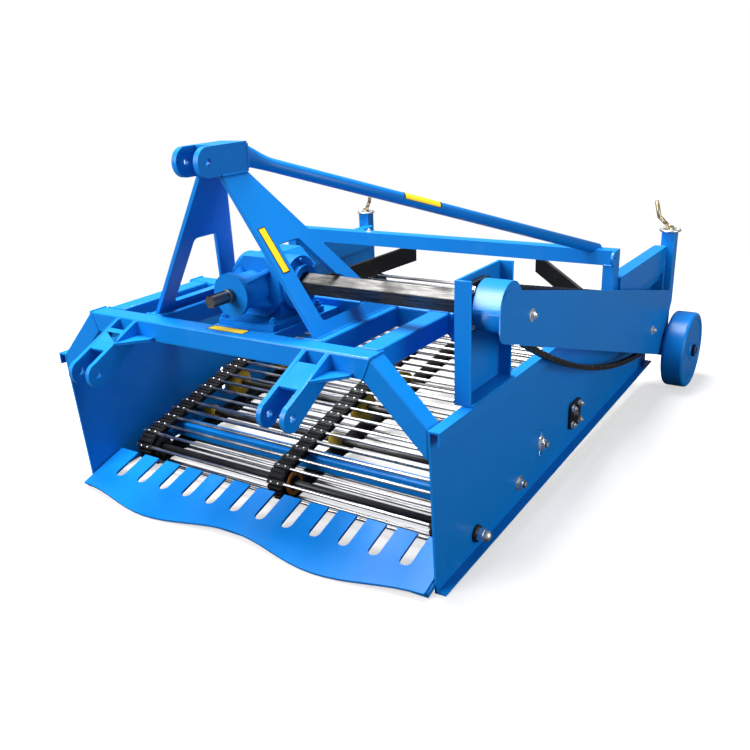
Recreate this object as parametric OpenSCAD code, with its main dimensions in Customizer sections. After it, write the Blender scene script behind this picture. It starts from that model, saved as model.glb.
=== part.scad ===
// Tractor-mounted potato harvester with a rod web, driven from the power take-off.
// Millimetres. X runs across the machine, +X on the chain side, +Y to the rear, Z up.
// Places along Y are measured from the front edge of the side plates, heights from the ground.

/* [Side plates] */
// Width over the outer faces of the side plates
body_w = 1320; // [1240:10:1500]
// Sheet thickness of the side plates
plate_t = 6; // [4:0.5:8]
// Height of the side plates at their front edge
plate_h = 466; // [440:2:500]
// Length of the side plates along the top rail
plate_len = 1800; // [1740:5:1860]
// Rise of the bottom edge from front to tail
tail_rise = 90; // [40:5:120]
// Set-back of the front edge at its foot
front_rake = 28; // [0:2:50]
// Outward reach of the top rail and of the bottom flange
flange_w = 26; // [16:1:30]
// Thickness of the top rail and of the bottom flange
flange_t = 5; // [3:0.5:8]
// Depth of the top rail's outer lip
lip_h = 36; // [20:1:50]

/* [Top frame] */
// Side of the square frame tube
tube = 60; // [50:2:70]
// Height of the top frame's upper face
frame_top = 623; // [600:1:660]
// Half length of the portal's level beam, at its upper edge
beam_half = 499; // [480:1:520]
// Place of the rear portal's front face
rear_portal_y = 430; // [428:1:470]
// Middle of the outer longitudinal tubes
outer_rail_x = 455; // [445:1:460]
// Middle of the inner longitudinal tubes, which carry the mast
inner_rail_x = 288; // [270:1:300]

/* [Three-point hitch] */
// Spacing of the two lower hitch points
hitch_span = 683; // [660:1:700]
// Inner width between the two ears of a lower hitch point
hitch_gap = 57; // [50:1:62]
// Thickness of the lower hitch ears
hitch_ear_t = 14; // [10:1:18]
// Bore of the lower hitch pins
hitch_bore = 22.4; // [20:0.1:26]
// Radius of the lower hitch ears
hitch_ear_r = 35; // [30:1:40]
// Reach of the lower hitch pins ahead of the front beam
hitch_reach = 163; // [140:1:180]
// Height of the lower hitch pins
hitch_z = 505; // [490:1:520]
// Inner width between the two ears of the mast head
head_gap = 58; // [52:1:70]
// Thickness of the mast head's ears
head_ear_t = 16; // [12:1:20]
// Bore of the top link pin
head_bore = 19.6; // [19:0.1:26]
// Height of the top link pin
head_z = 1066; // [1040:1:1090]
// Height of the mast head's ears
head_h = 76; // [70:1:90]
// Length of the mast head behind its pin
head_len = 150; // [130:1:170]
// Thickness of the mast plates
mast_t = 12; // [8:1:14]
// Width of the struts beside the mast plate's cut-out
strut_w = 58; // [48:1:62]

/* [Digging blade] */
// Thickness of the blade
blade_t = 8; // [6:0.5:10]
// Slope of the blade
blade_slope = 17; // [14:0.5:19]
// Length of the blade from its front corners to its rear edge, along the slope
blade_len = 185; // [175:1:195]
// Forward reach of the two lobes of the cutting edge
lobe = 47; // [30:1:50]
// Clearance of the blade's lowest point above the ground
blade_clear = 2; // [1:0.5:6]
// Pitch of the slots
slot_pitch = 100; // [90:1:110]
// Least width of blade left beside the outermost slots
slot_edge = 40; // [30:1:60]
// Width of the slots
slot_w = 36; // [28:1:44]
// Length of the slots, open at the rear
slot_len = 100; // [80:1:120]

/* [Rod web] */
// Place of the front roller axle
front_axle_y = 252; // [250:1:260]
// Height of the front roller axle
front_axle_z = 66; // [66:1:70]
// Radius of the front rollers
front_roller_r = 40; // [38:1:40]
// Distance of the rear drive shaft from the tail of the side plates
drive_inset = 110; // [100:1:120]
// Height of the rear drive shaft
drive_z = 295; // [285:1:305]
// Radius of the web's drive rollers
drive_roller_r = 55; // [50:1:58]
// Thickness of the belts under the rods
belt_t = 8; // [6:0.5:9]
// Width of the three belts
belt_w = 60; // [50:1:70]
// Distance of the outer belts' middle from the outer faces of the side plates
belt_inset = 85; // [80:1:100]
// Height of the cleats above the belt
cleat_h = 13; // [11:0.5:14]
// Pitch aimed at for the rods; the loop takes a whole number of them
rod_pitch = 50; // [45:1:60]
// Diameter of the rods
rod_d = 11; // [9:0.5:12]
// Clearance between the rods' ends and the side plates
rod_clear = 36; // [29:1:44]

/* [Chain drive] */
// Place of the cross shaft
cross_y = 275; // [272:1:280]
// Height of the cross shaft and of the power take-off shaft
cross_z = 706; // [700:1:715]
// Side of the square cross shaft
cross_w = 44; // [38:1:46]
// Turn of the square cross shaft about its axis
cross_turn = 25; // [0:1:45]
// Pitch radius of the front sprocket
sprocket_front_r = 48; // [44:1:50]
// Pitch radius of the rear sprocket
sprocket_rear_r = 95; // [85:1:97]
// Height of the chain's side bars
chain_h = 18; // [14:1:20]
// Width of the chain over its pins
chain_w = 14; // [12:1:16]
// Distance of the chain's middle plane from the side plate's outer face
chain_out = 52; // [50:1:56]
// Sag of the slack lower run
chain_sag = 100; // [30:1:110]
// Distance of the chain guard's inner face from the side plate's outer face
guard_out = 76; // [74:0.5:77]
// Thickness of the chain guard's plate
guard_t = 3; // [2:0.5:4]

/* [Gauge wheels] */
// Distance of the gauge wheel posts' middle from the outer faces of the side plates
post_out = 43; // [42:0.5:44]
// Distance of the gauge wheel posts' middle behind the side plates
post_back = 38; // [36:1:50]
// Height of the sleeves' upper ends over the gauge arms
sleeve_rise = 56; // [40:1:80]
// Length of the sleeves
sleeve_len = 286; // [260:1:300]
// Outer side of the square sleeves
sleeve_w = 50; // [50:0.5:51]
// Wall of the sleeves
sleeve_t = 4; // [3:0.5:5]
// Play of the leg in its sleeve, on each side
leg_play = 0.4; // [0.3:0.1:1.5]
// Radius of the gauge wheels
wheel_r = 150; // [140:1:160]
// Width of the gauge wheels
wheel_w = 85; // [70:1:95]
// Distance of a gauge wheel's inner face from the middle of its post
wheel_gap = 44; // [43:0.5:49]
// Radius of the wheel axles
axle_r = 15; // [12:0.5:16]
// Play between a wheel's bore and its axle
axle_play = 0.3; // [0.2:0.1:0.6]

/* [Tail] */
// Place of the rear crossbar's front face
crossbar_y = 1215; // [1200:1:1240]
// Height of the rear crossbar's upper face
crossbar_top = 657; // [640:1:680]
// Side of the rear crossbar, its posts and the gauge arms
crossbar_w = 50; // [40:1:52]
// Height of the gauge arms
arm_h = 94; // [60:1:100]
// Thickness of the rubber flaps
flap_t = 8; // [5:0.5:10]
// Distance of the flaps' free ends from the mid-plane
flap_free_x = 270; // [240:5:320]
// Height of the flaps' upper corner at the free end
flap_top = 550; // [530:2:580]

/* [Hidden] */
$fn = 48;
blue = "#1c7fd6";
steel = "#b9bcc0";
dark_steel = "#4a4b4e";
rubber = "#1b1b1d";
nylon = "#c9a227";
zinc = "#d8d3c4";

half_w = body_w / 2;
inner_x = half_w - plate_t;
rail_out = half_w + flange_w;
seat = 0.3;
slack = 0.2;
eps = 0.4;
post_x = half_w + post_out;
post_y = plate_len + post_back;
wheel_in = post_x + wheel_gap;

// Top frame
portal_in = beam_half - tube * tan(22.5);
rail_front = tube;
rail_len = rear_portal_y - tube;

// Mast
head_x = head_gap / 2 + head_ear_t / 2;
head_low = head_z - head_h / 2;
mast_rise = head_low - frame_top;
mast_lean = atan((inner_rail_x - head_x) / mast_rise);
mast_run = mast_rise / cos(mast_lean);
mast_front = 70;
mast_rear = 425;
mast_top_front = 45;
mast_top_rear = 143;

// Blade: its front corners are on the line where v is 0
blade_half = inner_x - 5;
blade_y = -20;
blade_z = blade_clear + blade_t + lobe * sin(blade_slope);
slot_count = floor((2 * blade_half - 2 * slot_edge - slot_w) / slot_pitch) + 1;

// Rod web, as wheels [place, height, radius] that the belt wraps anticlockwise
drive_y = plate_len - drive_inset;
belt_x = half_w - belt_inset;
rod_half = inner_x - rod_clear;
carrier = [700, 158, 52];
guide = [975, 159, 40];
lower_guide = [538, 92, 26];
WEB_Y = 0;
WEB_Z = 1;
WEB_R = 2;
web_wheels = [
    [front_axle_y, front_axle_z, front_roller_r],
    guide,
    [drive_y, drive_z, drive_roller_r],
    carrier
];
belt_seat = 0.8;
rod_gap = rod_d + 6;
axle_bar_r = 12.5;
drive_bar_r = 20;
carrier_bar_r = 10;

// Drive upright
upright_front = 177;
upright_rear = 425;
upright_top = 786;
upright_t = 8;
upright_web = half_w - 20;
upright_out = half_w + 16;
bearing_w = 124;
bearing_t = 14;
bearing_bolt_t = 10;
bearing_r = 46;
bearing_bore = 17.5;

// Chain and its guard
chain_x = half_w + chain_out;
guard_x = half_w + guard_out;
guard_play = 1;
shroud_r = sprocket_front_r + 18;
shroud_t = 4;
shroud_x = upright_web + bearing_t + bearing_bolt_t + guard_play;
spacer_r = 10;
spacer_clear = 9;
spacer_front = [upright_rear - 25, cross_z - sprocket_front_r - 3];
spacer_rear = [drive_y - sprocket_rear_r - chain_h / 2 - spacer_clear - spacer_r, drive_z];

// Gearbox
base_top = 600;
base_t = 12;
base_half = 110;
gear_half = 82;
gear_boss_out = 112;
shoulder_gap = 4;
shaft_clear = 6;
pto_r = 17.5;
pto_tip = -2;
snout_front = 80;

// Gauge wheels
leg_w = sleeve_w - 2 * sleeve_t - 2 * leg_play;
sleeve_top = plate_h + arm_h + sleeve_rise;
leg_inset = 116;
leg_top = sleeve_top - leg_inset;
leg_low = 118;
hub_play = 1.5;
nut_t = 12;
brace_low = 340;
wheel_out = wheel_in + wheel_w;
axle_out = wheel_out + hub_play + nut_t;

// The finished part stands with the middle of its footprint at the origin
front_reach = -hitch_reach - hitch_ear_r;
rear_reach = post_y + wheel_r;
middle_y = (front_reach + rear_reach) / 2;

// Points of a fillet of radius r at corner b, coming from a and leaving for c
function unit(v) = v / norm(v);
function fillet(a, b, c, r, n = 6) =
    let (
        u = unit(a - b),
        w = unit(c - b),
        half = acos(u * w) / 2,
        middle = b + unit(u + w) * r / sin(half),
        p = b + u * r / tan(half) - middle,
        q = b + w * r / tan(half) - middle,
        start = atan2(p[1], p[0]),
        turn = (atan2(q[1], q[0]) - start + 540) % 360 - 180
    )
    [for (i = [0:n]) middle + r * [cos(start + turn * i / n), sin(start + turn * i / n)]];

// Outline with a fillet at each corner whose radius is over 0
function rounded(points, radii) =
    let (n = len(points))
    [for (i = [0:n - 1])
        each radii[i] > 0
            ? fillet(points[(i + n - 1) % n], points[i], points[(i + 1) % n], radii[i])
            : [points[i]]];

// Direction of the outward normal on the straight run from wheel i to the next wheel
function run_normal(wheels, i) =
    let (
        a = wheels[i],
        b = wheels[(i + 1) % len(wheels)],
        dy = b[WEB_Y] - a[WEB_Y],
        dz = b[WEB_Z] - a[WEB_Z]
    )
    atan2(dz, dy) - acos((a[WEB_R] - b[WEB_R]) / norm([dy, dz]));

function wrap_angle(from, to) = to < from ? wrap_angle(from, to + 360) : to;

// Start and end angle of the arc on wheel i
function arc_span(wheels, i) =
    let (
        n = len(wheels),
        start = run_normal(wheels, (i + n - 1) % n)
    )
    [start, wrap_angle(start, run_normal(wheels, i))];

// Outline of a band that wraps the wheels at a height over their radius
function wrap_outline(wheels, height, steps = 12) =
    [for (i = [0:len(wheels) - 1])
        let (span = arc_span(wheels, i), w = wheels[i], r = w[WEB_R] + height)
        for (k = [0:steps])
            let (a = span[0] + (span[1] - span[0]) * k / steps)
            [w[WEB_Y] + r * cos(a), w[WEB_Z] + r * sin(a)]];

// The same loop by length: pieces [length, is_arc, wheel] in the order that the belt runs
function wrap_pieces(wheels, height) =
    [for (i = [0:len(wheels) - 1])
        let (
            span = arc_span(wheels, i),
            a = wheels[i],
            b = wheels[(i + 1) % len(wheels)],
            d = norm([b[WEB_Y] - a[WEB_Y], b[WEB_Z] - a[WEB_Z]]),
            dr = a[WEB_R] - b[WEB_R]
        )
        each [
            [(a[WEB_R] + height) * (span[1] - span[0]) * PI / 180, true, i],
            [sqrt(d * d - dr * dr), false, i]
        ]];

function total(pieces, i = 0) = i < len(pieces) ? pieces[i][0] + total(pieces, i + 1) : 0;

// Point and normal angle [y, z, angle] at length s along the loop
function along(wheels, height, pieces, s, i = 0) =
    s > pieces[i][0] && i < len(pieces) - 1
        ? along(wheels, height, pieces, s - pieces[i][0], i + 1)
        : let (
              w = wheels[pieces[i][2]],
              span = arc_span(wheels, pieces[i][2]),
              r = w[WEB_R] + height,
              a = pieces[i][1] ? span[0] + s / r * 180 / PI : span[1],
              run = pieces[i][1] ? 0 : s
          )
          [w[WEB_Y] + r * cos(a) - run * sin(a), w[WEB_Z] + r * sin(a) + run * cos(a), a];

function lifted(p, height) = [p[0] + height * cos(p[2]), p[1] + height * sin(p[2])];

// Puts a piece drawn in machine places into the finished part's frame
module place() {
    translate([0, -middle_y, 0]) children();
}

module on_left() {
    mirror([1, 0, 0]) children();
}

// Extrudes an outline drawn in Y and Z along X, from x0 over a width
module across(x0, width) {
    translate([x0, 0, 0]) rotate([90, 0, 90]) linear_extrude(width) children();
}

// Extrudes an outline drawn in X and Z along Y, from y0 over a depth
module lengthwise(y0, depth) {
    translate([0, y0 + depth, 0]) rotate([90, 0, 0]) linear_extrude(depth) children();
}

// Cylinder along X from x0 to x1, at place p = [y, z]
module shaft(p, r, x0, x1) {
    translate([x0, p[0], p[1]]) rotate([0, 90, 0]) cylinder(r = r, h = x1 - x0);
}

module block(low, high) {
    translate(low) cube(high - low);
}

// Side plates with their top rail, bottom flange and bearing holes
module side_plate() {
    play = 1;
    outline = [[front_rake, 0], [plate_len, tail_rise], [plate_len, plate_h], [0, plate_h]];
    flange = [[front_rake, 0], [plate_len, tail_rise], [plate_len, tail_rise + flange_t], [front_rake, flange_t]];
    rail = [
        [inner_x, plate_h - flange_t], [rail_out - flange_t, plate_h - flange_t],
        [rail_out - flange_t, plate_h - lip_h], [rail_out, plate_h - lip_h], [rail_out, plate_h], [inner_x, plate_h]
    ];
    slot_reach = 36;
    color(blue) difference() {
        union() {
            across(inner_x, plate_t) polygon(outline);
            across(inner_x, rail_out - inner_x) polygon(flange);
            lengthwise(0, plate_len) polygon(rail);
        }
        shaft([front_axle_y, front_axle_z], axle_bar_r + slack, inner_x - play, half_w + play);
        shaft([lower_guide[WEB_Y], lower_guide[WEB_Z]], carrier_bar_r + slack, inner_x - play, half_w + play);
        shaft([guide[WEB_Y], guide[WEB_Z]], carrier_bar_r + slack, inner_x - play, half_w + play);
        shaft([drive_y, drive_z], drive_bar_r + slack, inner_x - play, half_w + play);
        for (dz = [-slot_reach, slot_reach])
            shaft([carrier[WEB_Y], carrier[WEB_Z] + dz], carrier_bar_r + slack, inner_x - play, half_w + play);
        block(
            [inner_x - play, carrier[WEB_Y] - carrier_bar_r - slack, carrier[WEB_Z] - slot_reach],
            [half_w + play, carrier[WEB_Y] + carrier_bar_r + slack, carrier[WEB_Z] + slot_reach]
        );
    }
}

module side_plate_left() place() on_left() side_plate();
module side_plate_right() place() side_plate();

// Digging blade: two lobes at the cutting edge and slots that open to the rear
module blade_frame() {
    translate([0, blade_y, blade_z]) rotate([blade_slope, 0, 0]) children();
}

module digging_blade() {
    steps = 32;
    edge = [for (i = [0:steps])
        let (x = -blade_half + 2 * blade_half * i / steps)
        [x, -lobe * (1 - cos(360 * x / blade_half)) / 2]];
    place() color(blue) blade_frame() translate([0, 0, -blade_t]) linear_extrude(blade_t) difference() {
        polygon(concat(edge, [[blade_half, blade_len], [-blade_half, blade_len]]));
        for (i = [0:slot_count - 1])
            translate([(i - (slot_count - 1) / 2) * slot_pitch, blade_len - slot_len]) {
                circle(d = slot_w);
                translate([-slot_w / 2, 0]) square([slot_w, slot_len + 1]);
            }
    }
}

module blade_bar() {
    bar_from = 8;
    bar_to = blade_len - slot_len - slot_w / 2 - 4;
    bar_t = 16;
    place() color(blue) blade_frame()
        block([-inner_x, bar_from, -blade_t - bar_t], [inner_x, bar_to, -blade_t]);
}

// Portals: a level beam and two legs at 45 degrees down to the side plates
module portal(y0) {
    leg_out = frame_top - (inner_x - beam_half);
    leg_in = frame_top - tube - (inner_x - portal_in);
    right = [[beam_half, frame_top], [inner_x, leg_out], [inner_x, leg_in], [portal_in, frame_top - tube]];
    left = [for (i = [3:-1:0]) [-right[i][0], right[i][1]]];
    color(blue) lengthwise(y0, tube) polygon(concat(right, left));
}

module front_portal() place() portal(0);
module rear_portal() place() portal(rear_portal_y);

module rail_pair(x) {
    color(blue) for (side = [-1, 1])
        block(
            [side * x - tube / 2, rail_front, frame_top - tube],
            [side * x + tube / 2, rail_front + rail_len, frame_top]
        );
}

module outer_rails() place() rail_pair(outer_rail_x);
module inner_rails() place() rail_pair(inner_rail_x);

// Gearbox base: a channel between the two portals
module gearbox_base() {
    skirt_h = 36;
    place() color(blue) {
        block([-base_half, rail_front, base_top - base_t], [base_half, rail_front + rail_len, base_top]);
        for (side = [-1, 1])
            translate([side * (base_half - base_t / 2), 0, 0])
                block(
                    [-base_t / 2, rail_front, base_top - skirt_h],
                    [base_t / 2, rail_front + rail_len, base_top - base_t / 2]
                );
    }
}

// Mast plates: tall triangles with a cut-out, leaning in from the inner rails to the head
module mast_plate(has_passage) {
    rise = mast_run;
    spare = 40;
    slope_front = (mast_top_front - mast_front) / rise;
    slope_rear = (mast_top_rear - mast_rear) / rise;
    outline = [
        [mast_front - slope_front * spare, -spare], [mast_rear - slope_rear * spare, -spare],
        [mast_top_rear + slope_rear * spare, rise + spare], [mast_top_front + slope_front * spare, rise + spare]
    ];
    window_low = 34;
    window_top = 265;
    rear_width = strut_w * sqrt(1 + slope_rear * slope_rear);
    window = [
        [mast_front + strut_w + slope_front * window_low, window_low],
        [mast_rear - rear_width + slope_rear * window_low, window_low],
        [mast_rear - rear_width + slope_rear * window_top, window_top],
        [mast_front + strut_w + slope_front * window_top, window_top]
    ];
    color(blue) difference() {
        intersection() {
            translate([inner_rail_x, 0, frame_top]) rotate([0, -mast_lean, 0]) across(-mast_t / 2, mast_t) difference() {
                polygon(outline);
                polygon(rounded(window, [10, 14, 12, 12]));
            }
            block([0, -spare, frame_top], [2 * inner_rail_x, mast_rear + spare, head_low]);
        }
        if (has_passage)
            shaft([cross_y, cross_z], cross_w / sqrt(2) + shaft_clear, 0, 2 * inner_rail_x);
    }
}

module mast_plate_left() place() on_left() mast_plate(false);
module mast_plate_right() place() mast_plate(true);

// Mast head: two ears with a round front end, bridged above and behind
module mast_head() {
    ear_r = head_h / 2;
    pin_y = 0;
    roof_t = 10;
    roof_front = 34;
    place() color(blue) difference() {
        union() {
            for (side = [-1, 1])
                across(side * head_x - head_ear_t / 2, head_ear_t) {
                    translate([pin_y, head_z]) circle(r = ear_r);
                    translate([pin_y, head_low]) square([head_len, head_h]);
                }
            block([-head_x, roof_front, head_z + ear_r - roof_t], [head_x, head_len, head_z + ear_r]);
            block([-head_x, head_len - roof_t, head_low], [head_x, head_len, head_z + ear_r]);
        }
        shaft([pin_y, head_z], head_bore / 2, -head_x - head_ear_t, head_x + head_ear_t);
    }
}

// Stay: a round tube from the mast head to the chain side of the rear crossbar
module top_stay() {
    stay_r = 25;
    foot_in = 45;
    foot = [half_w - foot_in, crossbar_y + crossbar_w / 2, crossbar_top];
    root = [0, head_len, head_z];
    run = foot - root;
    spare = 120;
    reach = norm(run) + 2 * spare;
    pan = atan2(run[1], run[0]);
    tilt = acos(run[2] / norm(run));
    place() color(blue) intersection() {
        translate(root) rotate([0, tilt, pan]) translate([0, 0, -spare]) cylinder(r = stay_r, h = reach);
        block([-spare, head_len, crossbar_top], [foot[0] + 2 * spare, crossbar_y + crossbar_w + spare, head_z + spare]);
    }
}

// Lower hitch brackets: two sloping ears, a cover plate over them and a gusset beside them
module hitch_bracket(gusset_side) {
    mid = hitch_span / 2;
    ear_in = hitch_gap / 2;
    pin = [-hitch_reach, hitch_z];
    root_high = frame_top - 4;
    root_low = frame_top - tube;
    high_run = unit([0, root_high] - pin);
    low_run = unit([0, root_low] - pin);
    nip = hitch_ear_r - eps;
    ear = [
        [0, root_high],
        pin + nip * [-high_run[1], high_run[0]],
        pin,
        pin + nip * [low_run[1], -low_run[0]],
        [0, root_low]
    ];
    cover_t = 8;
    cover_from = 0.22;
    cover_to = 0.66;
    top_a = ear[0];
    top_b = ear[1];
    fall = unit(top_b - top_a);
    drop = cover_t * [fall[1], -fall[0]];
    cover = [
        top_a + (top_b - top_a) * cover_from, top_a + (top_b - top_a) * cover_to,
        top_a + (top_b - top_a) * cover_to - drop, top_a + (top_b - top_a) * cover_from - drop
    ];
    gusset_t = 8;
    gusset_w = 64;
    gusset_l = 96;
    gusset_z = root_low + 6;
    color(blue) difference() {
        union() {
            for (side = [-1, 1])
                across(mid + (side > 0 ? ear_in : -ear_in - hitch_ear_t), hitch_ear_t) {
                    translate(pin) circle(r = hitch_ear_r);
                    polygon(ear);
                }
            across(mid - ear_in - 1, 2 * ear_in + 2) polygon(cover);
            translate([mid + gusset_side * (ear_in + hitch_ear_t), 0, gusset_z]) mirror([gusset_side > 0 ? 0 : 1, 0, 0])
                linear_extrude(gusset_t) polygon([[-1, 0], [gusset_w, 0], [gusset_w, -18], [-1, -gusset_l]]);
        }
        shaft(pin, hitch_bore / 2, mid - ear_in - 2 * hitch_ear_t, mid + ear_in + 2 * hitch_ear_t);
    }
}

module hitch_bracket_left() place() on_left() hitch_bracket(-1);
module hitch_bracket_right() place() hitch_bracket(1);

// Bevel gearbox: an eight-sided casting with a ribbed and flanged snout, round side covers, bosses and a foot
module gearbox() {
    body_r = 92;
    body_flat = body_r * cos(22.5);
    body_front = 188;
    body_rear = 362;
    cover_r = 77;
    cover_out = 96;
    boss_r = 52;
    snout_r = 48;
    flange_r = 60;
    flange_len = 15;
    bore_rear = 170;
    foot_t = 16;
    foot_half = 100;
    foot_front = 130;
    foot_rear = 370;
    neck_half = 70;
    neck_front = 205;
    neck_rear = 345;
    rib_t = 12;
    rib_top = 76;
    lap = 5;
    plug_r = 14;
    plug_h = 10;
    place() color(blue) difference() {
        union() {
            lengthwise(body_front, body_rear - body_front)
                translate([0, cross_z]) rotate(22.5) circle(r = body_r, $fn = 8);
            shaft([cross_y, cross_z], cover_r, -cover_out, cover_out);
            shaft([cross_y, cross_z], boss_r, -gear_boss_out, gear_boss_out);
            translate([0, snout_front, cross_z]) rotate([-90, 0, 0]) {
                cylinder(r = snout_r, h = body_front + lap - snout_front);
                cylinder(r = flange_r, h = flange_len);
            }
            block([-foot_half, foot_front, base_top], [foot_half, foot_rear, base_top + foot_t]);
            block([-neck_half, neck_front, base_top], [neck_half, neck_rear, cross_z]);
            for (turn = [45:90:315])
                translate([0, 0, cross_z]) rotate([0, turn, 0]) across(-rib_t / 2, rib_t)
                    polygon([
                        [snout_front + flange_len - lap, snout_r - lap], [body_front + lap, snout_r - lap],
                        [body_front + lap, rib_top]
                    ]);
            translate([0, cross_y, cross_z]) cylinder(r = plug_r, h = body_flat + plug_h);
        }
        shaft([cross_y, cross_z], cross_w * 0.75, gear_half, gear_boss_out + 1);
        translate([0, snout_front - 1, cross_z]) rotate([-90, 0, 0])
            cylinder(r = pto_r + slack, h = bore_rear - snout_front + 1);
    }
}

// Power take-off stub with six splines
module pto_shaft() {
    spline_len = 62;
    spline_w = 8;
    groove = 3;
    neck_rear = 165;
    place() color(dark_steel) difference() {
        translate([0, pto_tip, cross_z]) rotate([-90, 0, 0]) cylinder(r = pto_r, h = neck_rear - pto_tip);
        for (i = [0:5])
            translate([0, pto_tip - 1, cross_z]) rotate([0, i * 60, 0])
                translate([-spline_w / 2, 0, pto_r - groove]) cube([spline_w, spline_len, 2 * groove]);
    }
}

// Square cross shaft from the gearbox to the front sprocket, turned round at its ends
module cross_shaft() {
    square_from = gear_boss_out + shoulder_gap;
    square_to = upright_web - upright_t - 14;
    end_x = chain_x + 14;
    place() color(dark_steel) union() {
        translate([square_from, cross_y, cross_z]) rotate([cross_turn, 0, 0])
            translate([0, -cross_w / 2, -cross_w / 2]) cube([square_to - square_from, cross_w, cross_w]);
        shaft([cross_y, cross_z], bearing_bore, gear_half + 1, end_x);
    }
}

// Drive upright: a channel that stands on the top rail, open to the outside
module drive_upright() {
    collar = 24;
    flange_low = plate_h;
    place() color(blue) difference() {
        union() {
            block([upright_web - upright_t, upright_front, flange_low], [upright_web, upright_rear, upright_top]);
            for (y = [upright_front, upright_rear - upright_t])
                block([upright_web - upright_t, y, flange_low], [upright_out, y + upright_t, upright_top]);
            block([upright_web - upright_t, upright_front, plate_h], [rail_out, upright_rear, plate_h + upright_t]);
        }
        shaft([cross_y, cross_z], collar, upright_web - 2 * upright_t, upright_web + 1);
    }
}

// Square flange bearing with four bolts
module flange_bearing(x0, p, w, t, boss_r, boss_t, bore) {
    bolt = w / 2 - 18;
    bolt_r = 8;
    difference() {
        union() {
            across(x0, t) polygon(rounded(
                [for (c = [[-1, -1], [1, -1], [1, 1], [-1, 1]]) [p[0], p[1]] + c * w / 2], [14, 14, 14, 14]));
            shaft(p, boss_r, x0, x0 + t + boss_t);
            for (dy = [-bolt, bolt], dz = [-bolt, bolt])
                shaft([p[0] + dy, p[1] + dz], bolt_r, x0 + t / 2, x0 + t + bearing_bolt_t);
        }
        shaft(p, bore, x0 - 1, x0 + t + boss_t + 1);
    }
}

module drive_bearing() {
    place() color(rubber)
        flange_bearing(upright_web, [cross_y, cross_z], bearing_w, bearing_t, bearing_r, 14, bearing_bore + slack);
}

// Sprocket whose toothed disc ends just under the chain
module sprocket(p, pitch_r, bore, hub_in, hub_out) {
    plate_w = 7;
    root_r = pitch_r - chain_h / 2 - belt_seat;
    difference() {
        union() {
            across(chain_x - plate_w / 2, plate_w) translate(p) circle(r = root_r);
            shaft(p, bore + 12, hub_in, hub_out);
        }
        shaft(p, bore + slack, hub_in - 1, hub_out + 1);
    }
}

module front_sprocket() {
    place() color(dark_steel)
        sprocket([cross_y, cross_z], sprocket_front_r, bearing_bore, chain_x - 20, chain_x + 10);
}

module rear_sprocket() {
    place() color(dark_steel)
        sprocket([drive_y, drive_z], sprocket_rear_r, drive_bar_r, chain_x - 16, chain_x + 10);
}

// Drive chain: one closed loop with a slack lower run
module drive_chain() {
    steps = 24;
    front = [cross_y, cross_z];
    rear = [drive_y, drive_z];
    wheels = [
        [front[0], front[1], sprocket_front_r],
        [rear[0], rear[1], sprocket_rear_r]
    ];
    span_rear = arc_span(wheels, 1);
    span_front = arc_span(wheels, 0);
    function loop(h) =
        let (
            start = front + (sprocket_front_r + h) * [cos(span_front[1]), sin(span_front[1])],
            stop = rear + (sprocket_rear_r + h) * [cos(span_rear[0]), sin(span_rear[0])]
        )
        concat(
            [for (k = [0:12])
                let (a = span_front[0] + (span_front[1] - span_front[0]) * k / 12)
                front + (sprocket_front_r + h) * [cos(a), sin(a)]],
            [for (k = [1:steps - 1])
                start + (stop - start) * k / steps - [0, 4 * chain_sag * k / steps * (1 - k / steps)]],
            [for (k = [0:12])
                let (a = span_rear[0] + (span_rear[1] - span_rear[0]) * k / 12)
                rear + (sprocket_rear_r + h) * [cos(a), sin(a)]]
        );
    place() color(rubber) across(chain_x - chain_w / 2, chain_w) difference() {
        polygon(loop(chain_h / 2));
        polygon(loop(-chain_h / 2));
    }
}

// Chain guard: a half round shroud over the front sprocket and a long plate, held by two spacers
module chain_guard() {
    nose_drop = 8;
    nose_y = cross_y - shroud_r;
    nose_top = cross_z + shroud_r - nose_drop;
    nose_low = cross_z - shroud_r - nose_drop;
    tail_reach = 150;
    tail_rise = 90;
    tail_fall = 133;
    tail_top = [drive_y + tail_reach, drive_z + tail_rise];
    tail_low = [drive_y, drive_z - tail_fall];
    outline = [[nose_y, nose_low], tail_low, tail_top, [nose_y, nose_top]];
    lap = 30;
    mouth = sprocket_front_r / 2;
    place() color(blue) union() {
        across(guard_x, guard_t) polygon(rounded(outline, [34, 26, 40, 46]));
        difference() {
            shaft([cross_y, cross_z], shroud_r, shroud_x, guard_x + guard_t / 2);
            shaft([cross_y, cross_z], shroud_r - shroud_t, shroud_x - 1, guard_x);
            block(
                [shroud_x - 1, cross_y + lap, cross_z - 2 * shroud_r],
                [guard_x, cross_y + 2 * shroud_r, cross_z + 2 * shroud_r]
            );
            block(
                [shroud_x - 1, cross_y - mouth, cross_z - 2 * shroud_r],
                [guard_x, cross_y + 2 * shroud_r, cross_z]
            );
        }
        shaft(spacer_front, spacer_r, upright_web, guard_x + guard_t / 2);
        shaft(spacer_rear, spacer_r, half_w, guard_x + guard_t / 2);
    }
}

// Rod web: three cleated belts in one closed loop, and the rods that lie between the cleats
module web_belts() {
    base = belt_seat + belt_t;
    pieces = wrap_pieces(web_wheels, base);
    loop_len = total(pieces);
    count = round(loop_len / rod_pitch);
    pitch = loop_len / count;
    taper = 3;
    cleats = [for (k = [0:count - 1])
        each [
            lifted(along(web_wheels, base, pieces, k * pitch + rod_gap / 2), 0),
            lifted(along(web_wheels, base, pieces, k * pitch + rod_gap / 2 + taper), cleat_h),
            lifted(along(web_wheels, base, pieces, (k + 1) * pitch - rod_gap / 2 - taper), cleat_h),
            lifted(along(web_wheels, base, pieces, (k + 1) * pitch - rod_gap / 2), 0)
        ]];
    place() color(rubber) for (x = [-belt_x, 0, belt_x])
        across(x - belt_w / 2, belt_w) difference() {
            polygon(cleats);
            polygon(wrap_outline(web_wheels, belt_seat));
        }
}

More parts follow.
